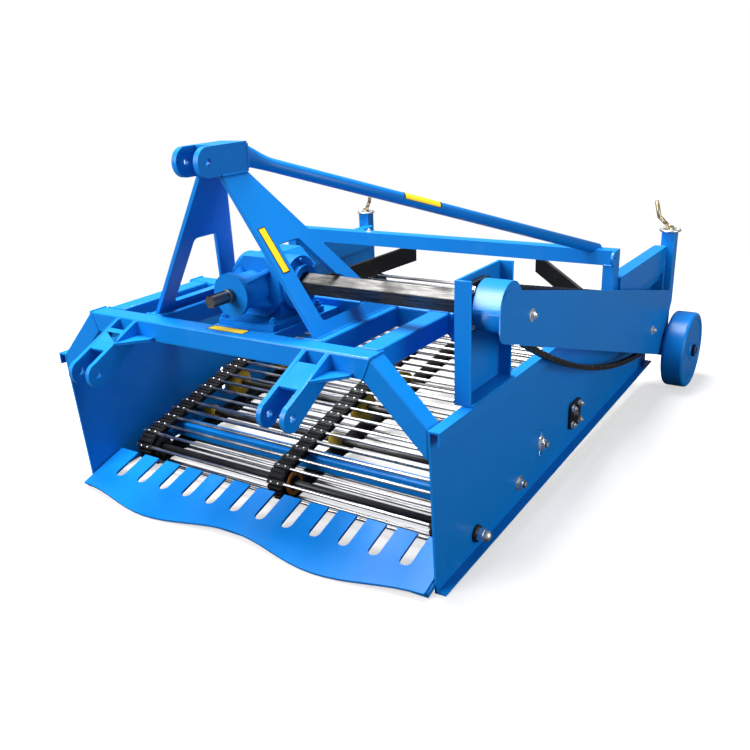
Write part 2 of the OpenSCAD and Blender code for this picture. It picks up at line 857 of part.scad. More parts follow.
module web_rods() {
    base = belt_seat + belt_t;
    pieces = wrap_pieces(web_wheels, base);
    loop_len = total(pieces);
    count = round(loop_len / rod_pitch);
    pitch = loop_len / count;
    place() color(steel) for (k = [0:count - 1])
        let (
            p = along(web_wheels, base, pieces, k * pitch),
            a = along(web_wheels, base, pieces, (k * pitch + loop_len - rod_gap / 2) % loop_len),
            b = along(web_wheels, base, pieces, k * pitch + rod_gap / 2),
            floor_at = [(a[0] + b[0]) / 2, (a[1] + b[1]) / 2, p[2]]
        )
        shaft(lifted(floor_at, rod_d / 2 + seat), rod_d / 2, -rod_half, rod_half, $fn = 8);
}

// Plain rollers under the three belts on a through shaft with a nut at each end
module roller_row(wheel, bar_r, bar_out, roller_w) {
    p = [wheel[WEB_Y], wheel[WEB_Z]];
    shaft(p, bar_r, -bar_out, bar_out);
    for (x = [-belt_x, 0, belt_x])
        shaft(p, wheel[WEB_R], x - roller_w / 2, x + roller_w / 2);
}

module front_rollers() {
    nut_out = half_w + 46;
    nut_r = 21;
    p = [front_axle_y, front_axle_z];
    place() color(dark_steel) union() {
        roller_row(web_wheels[0], axle_bar_r, nut_out, belt_w + 8);
        for (side = [-1, 1])
            translate([side < 0 ? -nut_out : half_w, 0, 0])
                shaft(p, nut_r, 0, nut_out - half_w);
    }
}

module drive_rollers() {
    place() color(dark_steel) union() {
        roller_row(web_wheels[2], drive_bar_r, half_w + 26, belt_w + 4);
        shaft([drive_y, drive_z], drive_bar_r, half_w, chain_x + 12);
    }
}

module carrier_rollers() {
    nut_r = 15;
    nut_out = half_w + 30;
    roller_w = belt_w - 10;
    place() color(nylon) for (wheel = [carrier, guide, lower_guide]) {
        roller_row(wheel, carrier_bar_r, nut_out, roller_w);
        for (side = [-1, 1])
            translate([side < 0 ? -nut_out : half_w + 18, 0, 0])
                shaft([wheel[WEB_Y], wheel[WEB_Z]], nut_r, 0, nut_out - half_w - 18);
    }
}

module inner_tube() {
    tube_w = 50;
    tube_y = 360;
    tube_z = 62;
    place() color(blue) block([-inner_x, tube_y, tube_z], [inner_x, tube_y + tube_w, tube_z + tube_w]);
}

// Black flange bearings on the side plates: at the guide rollers and at the drive shaft
module side_bearings() {
    place() color(rubber) for (side = [0, 1])
        mirror([side, 0, 0]) {
            flange_bearing(half_w, [guide[WEB_Y], guide[WEB_Z]], 92, 10, 24, 6, carrier_bar_r + slack);
            flange_bearing(half_w, [drive_y, drive_z], 112, 10, 34, 8, drive_bar_r + slack);
        }
}

// Rear crossbar on two posts, with a rounded lug at each end
module rear_crossbar() {
    lug_t = 8;
    lug_r = 24;
    bar_half = half_w + 30;
    low = crossbar_top - crossbar_w;
    mid = [crossbar_y + crossbar_w / 2, crossbar_top - crossbar_w / 2];
    place() color(blue) difference() {
        union() {
            block([-bar_half, crossbar_y, low], [bar_half, crossbar_y + crossbar_w, crossbar_top]);
            for (side = [0, 1])
                mirror([side, 0, 0]) {
                    block([bar_half - 40, crossbar_y, plate_h], [bar_half, crossbar_y + crossbar_w, crossbar_top]);
                    shaft([crossbar_y, mid[1]], lug_r, bar_half - lug_t, bar_half);
                }
        }
        for (side = [0, 1])
            mirror([side, 0, 0]) shaft([crossbar_y - 8, mid[1]], 8, bar_half - lug_t - 1, bar_half + 1);
    }
}

// Rubber flaps that gather the crop behind the web: a tab on the side plate and a sheet that rises inwards
module flap() {
    root_x = inner_x;
    tab_len = 64;
    tab_gap = 7;
    tab_low = plate_h - 136;
    tab_h = 75;
    reach = 224;
    free_h = 67;
    tip = 8;
    tab_front = crossbar_y + crossbar_w + tab_gap;
    tab_rear = tab_front + tab_len;
    tab_top = tab_low + tab_h;
    free = [flap_free_x, tab_rear + reach];
    corner = [root_x - flap_t, tab_rear - flap_t];
    run = unit(free - corner);
    side = flap_t * [-run[1], run[0]];
    color(rubber) union() {
        block([root_x - flap_t, tab_front, tab_low], [root_x, tab_rear, tab_top]);
        intersection() {
            translate([0, 0, tab_low]) linear_extrude(flap_top - tab_low)
                polygon([corner + [flap_t, 0], free, free - side, corner - side + [flap_t, 0]]);
            across(0, root_x) polygon([
                [corner[1] - flap_t, tab_low], [free[1] + tip, flap_top - free_h], [free[1] + tip, flap_top],
                [free[1], flap_top], [corner[1] - flap_t, tab_top]
            ]);
        }
    }
}

module flap_left() place() on_left() flap();
module flap_right() place() flap();

// Gauge arms on the top rail, from the crossbar's posts to the sleeves
module gauge_arm() {
    arm_in = half_w - 10;
    sleeve_front = post_y - sleeve_w / 2;
    brace_out = post_x;
    color(blue) union() {
        block(
            [arm_in, crossbar_y + crossbar_w, plate_h],
            [arm_in + crossbar_w, sleeve_front, plate_h + arm_h]
        );
        block([inner_x, plate_len, brace_low], [brace_out, sleeve_front, plate_h + arm_h / 2]);
    }
}

module gauge_arm_left() place() on_left() gauge_arm();
module gauge_arm_right() place() gauge_arm();

module gauge_sleeve() {
    bore = sleeve_w - 2 * sleeve_t;
    color(blue) difference() {
        block(
            [post_x - sleeve_w / 2, post_y - sleeve_w / 2, sleeve_top - sleeve_len],
            [post_x + sleeve_w / 2, post_y + sleeve_w / 2, sleeve_top]
        );
        block(
            [post_x - bore / 2, post_y - bore / 2, sleeve_top - sleeve_len - 1],
            [post_x + bore / 2, post_y + bore / 2, sleeve_top + 1]
        );
    }
}

module gauge_sleeve_left() place() on_left() gauge_sleeve();
module gauge_sleeve_right() place() gauge_sleeve();

// Leg that slides in the sleeve, with the wheel's axle, collar and nut
module gauge_leg() {
    collar_r = 24;
    nut_r = 22;
    p = [post_y, wheel_r];
    color(blue) union() {
        block(
            [post_x - leg_w / 2, post_y - leg_w / 2, leg_low],
            [post_x + leg_w / 2, post_y + leg_w / 2, leg_top]
        );
        shaft(p, axle_r, post_x, axle_out);
        shaft(p, collar_r, post_x, wheel_in - hub_play);
        shaft(p, nut_r, axle_out - nut_t, axle_out);
    }
}

module gauge_leg_left() place() on_left() gauge_leg();
module gauge_leg_right() place() gauge_leg();

// Flat steel wheel with rounded rim edges and a shallow dish
module gauge_wheel() {
    edge_r = 12;
    dish = 4;
    dish_r = wheel_r - 22;
    bore = axle_r + axle_play;
    profile = rounded(
        [[bore, 0], [wheel_r, 0], [wheel_r, wheel_w], [dish_r, wheel_w], [dish_r - dish, wheel_w - dish],
            [40, wheel_w - dish], [36, wheel_w], [bore, wheel_w]],
        [0, edge_r, edge_r, 0, 0, 0, 0, 0]
    );
    color(blue) translate([wheel_in, post_y, wheel_r]) rotate([0, 90, 0]) rotate_extrude() polygon(profile);
}

module gauge_wheel_left() place() on_left() gauge_wheel();
module gauge_wheel_right() place() gauge_wheel();

// Crank of the gauge screw: a flange on the sleeve, a stem, an arm and an upright grip
module crank(swing) {
    flange_r = 40;
    flange_h = 8;
    rod_r = 8;
    stem_h = 34;
    arm_l = 62;
    grip_h = 74;
    color(zinc) translate([post_x, post_y, sleeve_top]) {
        cylinder(r = flange_r, h = flange_h);
        cylinder(r = rod_r, h = flange_h + stem_h);
        translate([0, 0, flange_h + stem_h]) {
            sphere(r = rod_r);
            rotate([0, 90, swing]) cylinder(r = rod_r, h = arm_l);
            rotate([0, 0, swing]) translate([arm_l, 0, 0]) {
                sphere(r = rod_r);
                cylinder(r = rod_r, h = grip_h);
            }
        }
    }
}

module crank_left() place() on_left() crank(215);
module crank_right() place() crank(215);

side_plate_left();
side_plate_right();
digging_blade();
blade_bar();
front_portal();
rear_portal();
outer_rails();
inner_rails();
gearbox_base();
mast_plate_left();
mast_plate_right();
mast_head();
top_stay();
hitch_bracket_left();
hitch_bracket_right();
gearbox();
pto_shaft();
cross_shaft();
drive_upright();
drive_bearing();
front_sprocket();
rear_sprocket();
drive_chain();
chain_guard();
web_belts();
web_rods();
front_rollers();
drive_rollers();
carrier_rollers();
inner_tube();
side_bearings();
rear_crossbar();
flap_left();
flap_right();
gauge_arm_left();
gauge_arm_right();
gauge_sleeve_left();
gauge_sleeve_right();
gauge_leg_left();
gauge_leg_right();
gauge_wheel_left();
gauge_wheel_right();
crank_left();
crank_right();
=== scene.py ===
"""Looks of a tractor-mounted potato harvester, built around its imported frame.

Places are machine millimetres: X from the mid-plane, Y from the front edge of the side plates, Z from the
ground. Grain, peel and other depths of a finish, and the lights, are in metres.
"""

import logging
import math
from collections.abc import Callable, Iterable, Sequence
from dataclasses import dataclass, field, replace
from enum import Enum
from itertools import product

import bmesh
import bpy
from mathutils import Matrix, Vector


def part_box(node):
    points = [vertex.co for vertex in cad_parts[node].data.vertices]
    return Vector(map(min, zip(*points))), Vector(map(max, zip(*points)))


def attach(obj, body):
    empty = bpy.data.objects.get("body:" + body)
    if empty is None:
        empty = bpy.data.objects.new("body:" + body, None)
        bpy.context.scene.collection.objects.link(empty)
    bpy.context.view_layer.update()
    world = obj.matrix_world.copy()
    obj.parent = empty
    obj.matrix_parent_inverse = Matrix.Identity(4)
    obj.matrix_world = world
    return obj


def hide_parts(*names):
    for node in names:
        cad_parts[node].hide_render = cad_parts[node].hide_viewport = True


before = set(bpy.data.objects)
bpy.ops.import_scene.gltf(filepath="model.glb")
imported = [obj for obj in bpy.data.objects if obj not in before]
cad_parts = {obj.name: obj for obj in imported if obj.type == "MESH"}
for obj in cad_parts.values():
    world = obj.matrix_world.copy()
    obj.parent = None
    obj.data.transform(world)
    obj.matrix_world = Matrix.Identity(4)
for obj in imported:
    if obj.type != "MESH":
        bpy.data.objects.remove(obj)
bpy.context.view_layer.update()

LOG = logging.getLogger("harvester")

Colour = tuple[float, float, float]
Point = Sequence[float]

MIDDLE_Y = 895.0
TO_FRAME = Matrix.Scale(0.001, 4) @ Matrix.Translation((0.0, -MIDDLE_Y, 0.0))
TO_MACHINE = TO_FRAME.inverted()
ACROSS = Vector((1.0, 0.0, 0.0))
SIDES = (-1, 1)
HALF_WIDTH = 660.0
FRAME_TOP = 623.0
TUBE = 60.0
INNER_RAIL_X = 288.0
MAST_LEAN = math.radians(31.8)


class Body(Enum):
    """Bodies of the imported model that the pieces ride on; each packed wheel keeps its own."""

    FRAME = "frame"
    LEG_LEFT = "leg_left"
    LEG_RIGHT = "leg_right"


class Slot(Enum):
    """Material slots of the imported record."""

    PAINT = "blue_paint"
    CASTING = "blue_casting"
    BARE_STEEL = "bare_steel"
    DARK_STEEL = "dark_steel"
    BLACK_CASTING = "black_casting"
    RUBBER = "rubber"
    NYLON = "nylon"
    ZINC = "zinc"


# Shader graphs


class Value:
    """A float output in a shader graph, whose arithmetic adds Math nodes."""

    def __init__(self, graph: "Graph", socket: bpy.types.NodeSocket) -> None:
        """Wraps a socket of a graph."""
        self.graph = graph
        self.socket = socket

    def _math(self, operation: str, first: "Value | float", second: "Value | float") -> "Value":
        """Adds one Math node and gives its output."""
        made = self.graph.node("ShaderNodeMath", {"operation": operation}, {0: first, 1: second})
        return Value(self.graph, made.outputs[0])

    def __add__(self, other: "Value | float") -> "Value":
        """Sum with a value or a number."""
        return self._math("ADD", self, other)

    def __radd__(self, other: float) -> "Value":
        """Sum of a number and this value."""
        return self._math("ADD", other, self)

    def __sub__(self, other: "Value | float") -> "Value":
        """Difference from a value or a number."""
        return self._math("SUBTRACT", self, other)

    def __rsub__(self, other: float) -> "Value":
        """A number less this value."""
        return self._math("SUBTRACT", other, self)

    def __mul__(self, other: "Value | float") -> "Value":
        """Product with a value or a number."""
        return self._math("MULTIPLY", self, other)

    def __rmul__(self, other: float) -> "Value":
        """Product of a number and this value."""
        return self._math("MULTIPLY", other, self)

    def ramp(self, low: float, high: float) -> "Value":
        """Smooth step from 0 at the low value to 1 at the high one."""
        made = self.graph.node(
            "ShaderNodeMapRange",
            {"interpolation_type": "SMOOTHSTEP"},
            {"Value": self, "From Min": low, "From Max": high},
        )
        return Value(self.graph, made.outputs[0])


class Graph:
    """A node tree of a material or a world."""

    def __init__(self, owner: bpy.types.Material | bpy.types.World) -> None:
        """Clears the owner's node tree.

        Args:
            owner: the material or world.
        """
        owner.use_nodes = True
        self.tree = owner.node_tree
        self.tree.nodes.clear()

    def node(
        self,
        kind: str,
        settings: dict[str, object] | None = None,
        sockets: dict[str | int, object] | None = None,
    ) -> bpy.types.Node:
        """Adds any node.

        Args:
            kind: the node's type.
            settings: its properties, set first.
            sockets: values or links of its inputs, by name or number.

        Returns:
            The node.
        """
        made = self.tree.nodes.new(kind)
        for name, setting in (settings or {}).items():
            setattr(made, name, setting)
        for key, given in (sockets or {}).items():
            self.feed(made.inputs[key], given)
        return made

    def feed(self, socket: bpy.types.NodeSocket, given: object) -> None:
        """Links a value or an output to an input, or sets the input.

        Args:
            socket: the input.
            given: a wrapped value, an output or a constant.
        """
        source = given.socket if isinstance(given, Value) else given
        if isinstance(source, bpy.types.NodeSocket):
            self.tree.links.new(source, socket)
        else:
            socket.default_value = source

    def mix(
        self, factor: "Value | bpy.types.NodeSocket", first: object, second: object
    ) -> bpy.types.NodeSocket:
        """Mixes two colours or outputs by the share of the second."""
        made = self.node(
            "ShaderNodeMix", {"data_type": "RGBA"}, {0: factor, 6: opaque(first), 7: opaque(second)}
        )
        return made.outputs[2]


class SurfaceGraph(Graph):
    """A material's node tree with one Principled shader."""

    def __init__(self, name: str) -> None:
        """Makes an empty material with its shader and output.

        Args:
            name: the material's name.
        """
        self.material = bpy.data.materials.new(name)
        super().__init__(self.material)
        self.shader = self.node("ShaderNodeBsdfPrincipled")
        self.node("ShaderNodeOutputMaterial", {}, {"Surface": self.shader.outputs[0]})
        self.place = self.node("ShaderNodeTexCoord").outputs["Object"]

    def noise(self, scale: float, detail: float, stretch: Point = (1.0, 1.0, 1.0)) -> Value:
        """Noise on Object coordinates.

        Args:
            scale: blotches per metre, about.
            detail: octaves.
            stretch: factors on the coordinates.

        Returns:
            The noise, about 0 to 1.
        """
        mapped = self.node("ShaderNodeMapping", {}, {"Vector": self.place, "Scale": tuple(stretch)})
        made = self.node(
            "ShaderNodeTexNoise", {}, {"Vector": mapped.outputs[0], "Scale": scale, "Detail": detail}
        )
        return Value(self, made.outputs[0])

    def bump(self, height: Value) -> bpy.types.NodeSocket:
        """Normal from a height in metres."""
        made = self.node("ShaderNodeBump", {}, {"Height": height, "Distance": 1.0, "Strength": 1.0})
        return made.outputs[0]

    def surface(self, **sockets: object) -> None:
        """Sets inputs of the Principled shader, named with underscores for spaces."""
        for name, given in sockets.items():
            self.feed(self.shader.inputs[name.replace("_", " ")], given)


def opaque(colour: object) -> object:
    """A colour of three numbers with an alpha of 1; anything else as it is."""
    return (*colour, 1.0) if isinstance(colour, tuple) and len(colour) == 3 else colour


def scaled(colour: Colour, factor: float) -> Colour:
    """A colour made lighter or darker."""
    return (colour[0] * factor, colour[1] * factor, colour[2] * factor)


# Finishes


@dataclass(frozen=True)
class Finish:
    """A surface finish that makes its material once, and the record's slot for pieces that have it."""

    name: str
    slot: Slot | None
    colour: Colour
    roughness: float

    def material(self) -> bpy.types.Material:
        """Finds the finish's material or makes it.

        Returns:
            The material.
        """
        found = bpy.data.materials.get(self.name)
        if found is not None:
            return found
        graph = SurfaceGraph(self.name)
        self.dress(graph)
        return graph.material

    def dress(self, graph: SurfaceGraph) -> None:
        """Builds the shader; each finish has its own."""
        raise NotImplementedError


@dataclass(frozen=True)
class Paint(Finish):
    """Sprayed gloss paint on sheet and tube, with orange peel and a little handling dust."""

    peel: float = 0.00016
    waviness: float = 0.0012
    gloss: float = 0.26
    dust: Colour = (0.1, 0.3, 0.6)

    def dress(self, graph: SurfaceGraph) -> None:
        """Builds the paint's shader.

        Args:
            graph: the material's graph.
        """
        cloud = graph.noise(2.6, 3.0)
        rub = graph.noise(14.0, 5.0)
        speck = graph.noise(160.0, 2.0)
        peel = graph.noise(420.0, 1.0)
        wave = graph.noise(5.0, 1.0)
        tone = graph.mix(cloud, scaled(self.colour, 0.88), scaled(self.colour, 1.12))
        film = rub.ramp(0.58, 0.8) * 0.1 + speck.ramp(0.7, 0.78) * 0.16
        graph.surface(
            Base_Color=graph.mix(film, tone, self.dust),
            Roughness=self.roughness + rub * 0.14 + film * 0.5,
            Normal=graph.bump(wave * self.waviness + peel * self.peel),
            Specular_IOR_Level=self.gloss,
        )


@dataclass(frozen=True)
class PaintedCasting(Finish):
    """Paint over a sand casting."""

    grain: float = 0.0005
    gloss: float = 0.14

    def dress(self, graph: SurfaceGraph) -> None:
        """Builds the casting's shader.

        Args:
            graph: the material's graph.
        """
        cloud = graph.noise(9.0, 4.0)
        sand = graph.noise(190.0, 3.0)
        lump = graph.noise(42.0, 2.0)
        # Painted shade in the casting's pits: where the sand bump sinks lowest, the colour drops to 0.8 of
        # the paint's.
        clear_of_pit_shade = sand.ramp(0.3, 0.48)
        tone = graph.mix(cloud, scaled(self.colour, 0.8), scaled(self.colour, 1.15))
        graph.surface(
            Base_Color=graph.mix(clear_of_pit_shade, scaled(self.colour, 0.8), tone),
            Roughness=self.roughness + sand * 0.2,
            Normal=graph.bump(sand * self.grain + lump * self.grain),
            Specular_IOR_Level=self.gloss,
        )


@dataclass(frozen=True)
class Metal(Finish):
    """Bare or plated metal with marks drawn along one direction."""

    stain: Colour = (0.2, 0.19, 0.18)
    stretch: tuple[float, float, float] = (0.06, 1.0, 1.0)
    staining: float = 0.35
    metallic: float = 1.0
    scratch: float = 0.00012
    contrast: float = 0.24

    def dress(self, graph: SurfaceGraph) -> None:
        """Builds the metal's shader.

        Args:
            graph: the material's graph.
        """
        draw = graph.noise(260.0, 4.0, self.stretch)
        patch = graph.noise(11.0, 5.0)
        dark, light = (scaled(self.colour, 1.0 + sign * self.contrast) for sign in SIDES)
        tint = graph.mix(draw.ramp(0.3, 0.7), dark, light)
        dirt = patch.ramp(0.46, 0.72) * self.staining
        graph.surface(
            Base_Color=graph.mix(dirt, tint, self.stain),
            Metallic=self.metallic - dirt * 0.4,
            Roughness=self.roughness + draw * 0.12 + dirt * 0.3,
            Normal=graph.bump(draw * self.scratch),
        )


@dataclass(frozen=True)
class Moulded(Finish):
    """Rubber, nylon or dull black casting, with a fine grain and rubbed patches."""

    rubbed: Colour = (0.05, 0.05, 0.052)
    grain: float = 0.0003
    grain_scale: float = 320.0
    gloss: float = 0.4

    def dress(self, graph: SurfaceGraph) -> None:
        """Builds the moulding's shader.

        Args:
            graph: the material's graph.
        """
        grain = graph.noise(self.grain_scale, 3.0)
        patch = graph.noise(22.0, 5.0)
        rub = patch.ramp(0.5, 0.75) * 0.6
        graph.surface(
            Base_Color=graph.mix(rub, self.colour, self.rubbed),
            Roughness=self.roughness + grain * 0.16 - rub * 0.1,
            Normal=graph.bump(grain * self.grain),
            Specular_IOR_Level=self.gloss,
        )


@dataclass(frozen=True)
class Floor(Finish):
    """Pale studio floor that fades into the backdrop and throws little light back on the part."""

    fade_from: float = 1.6
    fade_to: float = 4.2
    veil: float = 0.4
    bounce: Colour = (0.06, 0.062, 0.065)

    def dress(self, graph: SurfaceGraph) -> None:
        """Builds the floor's shader.

        Args:
            graph: the material's graph.
        """
        cloud = graph.noise(0.6, 2.0)
        away = graph.node("ShaderNodeVectorMath", {"operation": "LENGTH"}, {0: graph.place})
        near = 1.0 - Value(graph, away.outputs["Value"]).ramp(self.fade_from, self.fade_to)
        seen = Value(graph, graph.node("ShaderNodeLightPath").outputs["Is Camera Ray"])
        pale = graph.mix(cloud, scaled(self.colour, 0.985), self.colour)
        graph.surface(
            Base_Color=graph.mix(seen, self.bounce, pale),
            Roughness=self.roughness + cloud * 0.1,
            Alpha=near * (1.0 - seen * (1.0 - self.veil)),
            Specular_IOR_Level=0.1,
        )


BLUE = Paint("blue_paint_finish", Slot.PAINT, (0.002, 0.178, 0.58), 0.25)
BLUE_CASTING = PaintedCasting("blue_casting_finish", Slot.CASTING, (0.002, 0.17, 0.56), 0.36)
ROD_STEEL = Metal("rod_steel_finish", Slot.BARE_STEEL, (0.5, 0.5, 0.5), 0.22, staining=0.4)
SHAFT_STEEL = Metal(
    "shaft_steel_finish", Slot.DARK_STEEL, (0.1, 0.098, 0.094), 0.44, stain=(0.03, 0.027, 0.025),
    staining=0.7, scratch=0.0006, contrast=0.5,
)
STUB_STEEL = Metal(
    "stub_steel_finish", Slot.DARK_STEEL, (0.2, 0.19, 0.18), 0.3, stain=(0.05, 0.04, 0.03),
    stretch=(1.0, 0.08, 1.0), staining=0.6,
)
PLATED = Metal(
    "plated_finish", Slot.ZINC, (0.9, 0.9, 0.87), 0.3, stain=(0.62, 0.6, 0.55), stretch=(1.0, 1.0, 1.0)
)
BRASSY_ZINC = Metal(
    "brassy_zinc_finish", Slot.ZINC, (0.42, 0.33, 0.2), 0.3, stain=(0.24, 0.15, 0.08),
    stretch=(1.0, 1.0, 0.2), staining=0.6,
)
RUBBER = Moulded(
    "rubber_finish", Slot.RUBBER, (0.005, 0.005, 0.0055), 0.5, rubbed=(0.016, 0.016, 0.017), gloss=0.16
)
OILED_BLACK = Moulded(
    "oiled_black_finish", Slot.BLACK_CASTING, (0.009, 0.009, 0.0095), 0.34, rubbed=(0.03, 0.029, 0.027),
    grain=0.0005,
)
NYLON = Moulded("nylon_finish", Slot.NYLON, (0.62, 0.37, 0.02), 0.42, rubbed=(0.5, 0.27, 0.015), grain=0.0001)
ORANGE_NYLON = Moulded(
    "orange_nylon_finish", Slot.NYLON, (0.72, 0.2, 0.012), 0.4, rubbed=(0.5, 0.12, 0.01), grain=0.0001
)
WHITE_NYLON = Moulded(
    "white_nylon_finish", Slot.NYLON, (0.75, 0.76, 0.78), 0.4, rubbed=(0.55, 0.55, 0.56), grain=0.0001
)
LABEL_YELLOW = Moulded(
    "label_yellow_finish", Slot.PAINT, (0.86, 0.6, 0.012), 0.34, rubbed=(0.8, 0.52, 0.01), grain=0.00004
)
LABEL_BLACK = Moulded("label_border_finish", Slot.PAINT, (0.02, 0.018, 0.012), 0.4, grain=0.00004)
PALE_FLOOR = Floor("pale_floor_finish", None, (0.92, 0.92, 0.92), 0.6)


# Shapes


def at(origin: Point, axis: Point = (0.0, 0.0, 1.0)) -> Matrix:
    """Frame at a point whose +Z runs along an axis."""
    turn = Vector(axis).to_track_quat("Z", "Y").to_matrix().to_4x4()
    return Matrix.Translation(Vector(origin)) @ turn


def basis(x_axis: Vector, y_axis: Vector, z_axis: Vector, origin: Point) -> Matrix:
    """Frame at a point with the given axes."""
    return Matrix.Translation(Vector(origin)) @ Matrix((x_axis, y_axis, z_axis)).transposed().to_4x4()


def mirrored(matrix: Matrix) -> Matrix:
    """A frame on the other side of the mid-plane."""
    return Matrix.Scale(-1.0, 4, ACROSS) @ matrix


def spool(half: Sequence[tuple[float, float]]) -> list[tuple[float, float]]:
    """A closed profile to turn, from the half of it below height 0."""
    return [*half, *((r, -h) for r, h in reversed(half)), half[0]]


def node_box(node: str) -> tuple[Vector, Vector]:
    """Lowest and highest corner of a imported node, in machine millimetres."""
    low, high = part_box(node)
    return TO_MACHINE @ low, TO_MACHINE @ high


@dataclass(frozen=True)
class Wheel:
    """A wheel across the machine: place along and up, and radius."""

    y: float
    z: float
    r: float

    def rim(self, angle: float, height: float = 0.0) -> Vector:
        """Point over the rim at an angle, in the mid-plane."""
        r = self.r + height
        return Vector((0.0, self.y + r * math.cos(angle), self.z + r * math.sin(angle)))


def node_wheel(node: str) -> Wheel:
    """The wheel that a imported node's box holds."""
    low, high = node_box(node)
    return Wheel((low.y + high.y) / 2, (low.z + high.z) / 2, (high.z - low.z) / 2)


# Guide roller of the web, whose bar turns in two of the side bearings
GUIDE = Wheel(975.0, 159.0, 40.0)


class Shape:
    """A mesh in the making, in machine millimetres."""

    # Angles between faces that count as flat, curved and sharp, and the shortest edge that is rounded
    FLAT = math.radians(0.6)
    CURVED = (math.radians(0.7), math.radians(30.0))
    SHARP = math.radians(32.0)
    SHORTEST = 9.0

    def __init__(self) -> None:
        """Starts an empty mesh."""
        self.bm = bmesh.new()

    def edges_among(self, verts: Iterable[bmesh.types.BMVert]) -> list[bmesh.types.BMEdge]:
        """Finds the edges among vertices.

        Args:
            verts: the vertices.

        Returns:
            The edges whose two ends are among them, in order.
        """
        self.bm.edges.index_update()
        inside = set(verts)
        found = {e for v in inside for e in v.link_edges if e.other_vert(v) in inside}
        return sorted(found, key=lambda e: e.index)

    def round_edges(self, edges: Sequence[bmesh.types.BMEdge], radius: float, segments: int = 2) -> None:
        """Rounds edges.

        Args:
            edges: the edges.
            radius: width of the rounding.
            segments: faces across it.
        """
        made = bmesh.ops.bevel(
            self.bm, geom=list(edges), offset=radius, offset_type="OFFSET", segments=segments, profile=0.5,
            affect="EDGES", clamp_overlap=True, material=-1,
        )
        for face in made["faces"]:
            face.smooth = True

    def _block(self, low: Point, high: Point, matrix: Matrix) -> list[bmesh.types.BMVert]:
        """Adds a sharp block.

        Args:
            low: lowest corner.
            high: highest corner.
            matrix: frame in which the corners are given.

        Returns:
            Its vertices.
        """
        verts = bmesh.ops.create_cube(self.bm, size=1.0)["verts"]
        size = Vector(high) - Vector(low)
        move = Matrix.Translation((Vector(low) + Vector(high)) / 2) @ Matrix.Diagonal((*size, 1.0))
        bmesh.ops.transform(self.bm, matrix=matrix @ move, verts=verts)
        return verts

    def box(
        self, low: Point, high: Point, radius: float, segments: int = 2, matrix: Matrix = Matrix()
    ) -> None:
        """Adds a block between two corners of a frame, with all its edges rounded."""
        self.round_edges(self.edges_among(self._block(low, high, matrix)), radius, segments)

    def plate(self, low: Point, high: Point, corner: float, matrix: Matrix, segments: int) -> None:
        """Adds a flat plate in a frame's XY plane, with round corners.

        Args:
            low: lowest corner in the frame.
            high: highest corner in the frame.
            corner: radius of the upright edges.
            matrix: the frame.
            segments: faces across a corner.
        """
        verts = self._block(low, high, Matrix())
        upright = []
        for edge in self.edges_among(verts):
            start, end = (v.co for v in edge.verts)
            if abs((start - end).normalized().z) > 0.9:
                upright.append(edge)
        before = set(self.bm.verts) - set(verts)
        self.round_edges(upright, corner, segments)
        bmesh.ops.transform(self.bm, matrix=matrix, verts=[v for v in self.bm.verts if v not in before])

    def rod(
        self, start: Point, end: Point, radius: float, segments: int, end_radius: float | None = None,
        chamfer: float = 0.0,
    ) -> None:
        """Adds a round bar, a cone or, with six segments, a hexagon.

        Args:
            start: middle of the first end.
            end: middle of the last end.
            radius: radius at the first end.
            segments: faces round it.
            end_radius: radius at the last end, where it differs.
            chamfer: width of the rounding of both rims.
        """
        run = Vector(end) - Vector(start)
        made = bmesh.ops.create_cone(
            self.bm, cap_ends=True, cap_tris=False, segments=segments, radius1=radius,
            radius2=radius if end_radius is None else end_radius, depth=run.length,
            matrix=at((Vector(start) + Vector(end)) / 2, run),
        )
        sides = {f for v in made["verts"] for f in v.link_faces if len(f.verts) == 4}
        for face in sides:
            face.smooth = segments > 8
        if chamfer > 0.0:
            edges = self.edges_among(made["verts"])
            self.round_edges([e for e in edges if any(len(f.verts) != 4 for f in e.link_faces)], chamfer)

    def lathe(
        self, profile: Sequence[tuple[float, float]], origin: Point, axis: Point, segments: int
    ) -> None:
        """Turns a profile about an axis.

        Args:
            profile: radius and height of each point, from the axis back to it.
            origin: the profile's origin.
            axis: direction of the heights.
            segments: faces round the turn.
        """
        seat = at(origin, axis)
        verts = [self.bm.verts.new(seat @ Vector((r, 0.0, h))) for r, h in profile]
        edges = [self.bm.edges.new(pair) for pair in zip(verts, verts[1:])]
        before = set(self.bm.verts) - set(verts)
        bmesh.ops.spin(
            self.bm, geom=[*verts, *edges], cent=Vector(origin), axis=Vector(axis).normalized(),
            angle=2 * math.pi, steps=segments, use_merge=True, use_duplicate=False,
        )
        turned_verts = [v for v in self.bm.verts if v not in before]
        bmesh.ops.remove_doubles(self.bm, verts=turned_verts, dist=0.01)
        for face in {f for v in self.bm.verts if v not in before for f in v.link_faces}:
            face.smooth = True

    def sweep(self, path: Sequence[Point], radius: float | Callable[[int], float], segments: int) -> None:
        """Sweeps a round section along a path.

        Args:
            path: the points.
            radius: one radius, or a radius for each point's number.
            segments: faces round the section.
        """
        points = [Vector(p) for p in path]
        size = radius if callable(radius) else (lambda _: radius)
        ends = [points[0], *points, points[-1]]
        runs = [(ends[i + 2] - ends[i]).normalized() for i in range(len(points))]
        turn = runs[0].to_track_quat("Z", "Y")
        frames = []
        for i, (point, run) in enumerate(zip(points, runs)):
            turn = (runs[i - 1] if i else run).rotation_difference(run) @ turn
            frames.append(Matrix.Translation(point) @ turn.to_matrix().to_4x4() @ Matrix.Scale(size(i), 4))
        self.tube(frames, segments)

    def tube(self, frames: Sequence[Matrix], segments: int) -> None:
        """Adds an oval bar through frames, whose X and Y are as long as its half width and height."""
        made = bmesh.ops.create_circle(
            self.bm, cap_ends=True, segments=segments, radius=1.0, matrix=frames[0])
        self._pull(made["verts"], frames, closed=False)

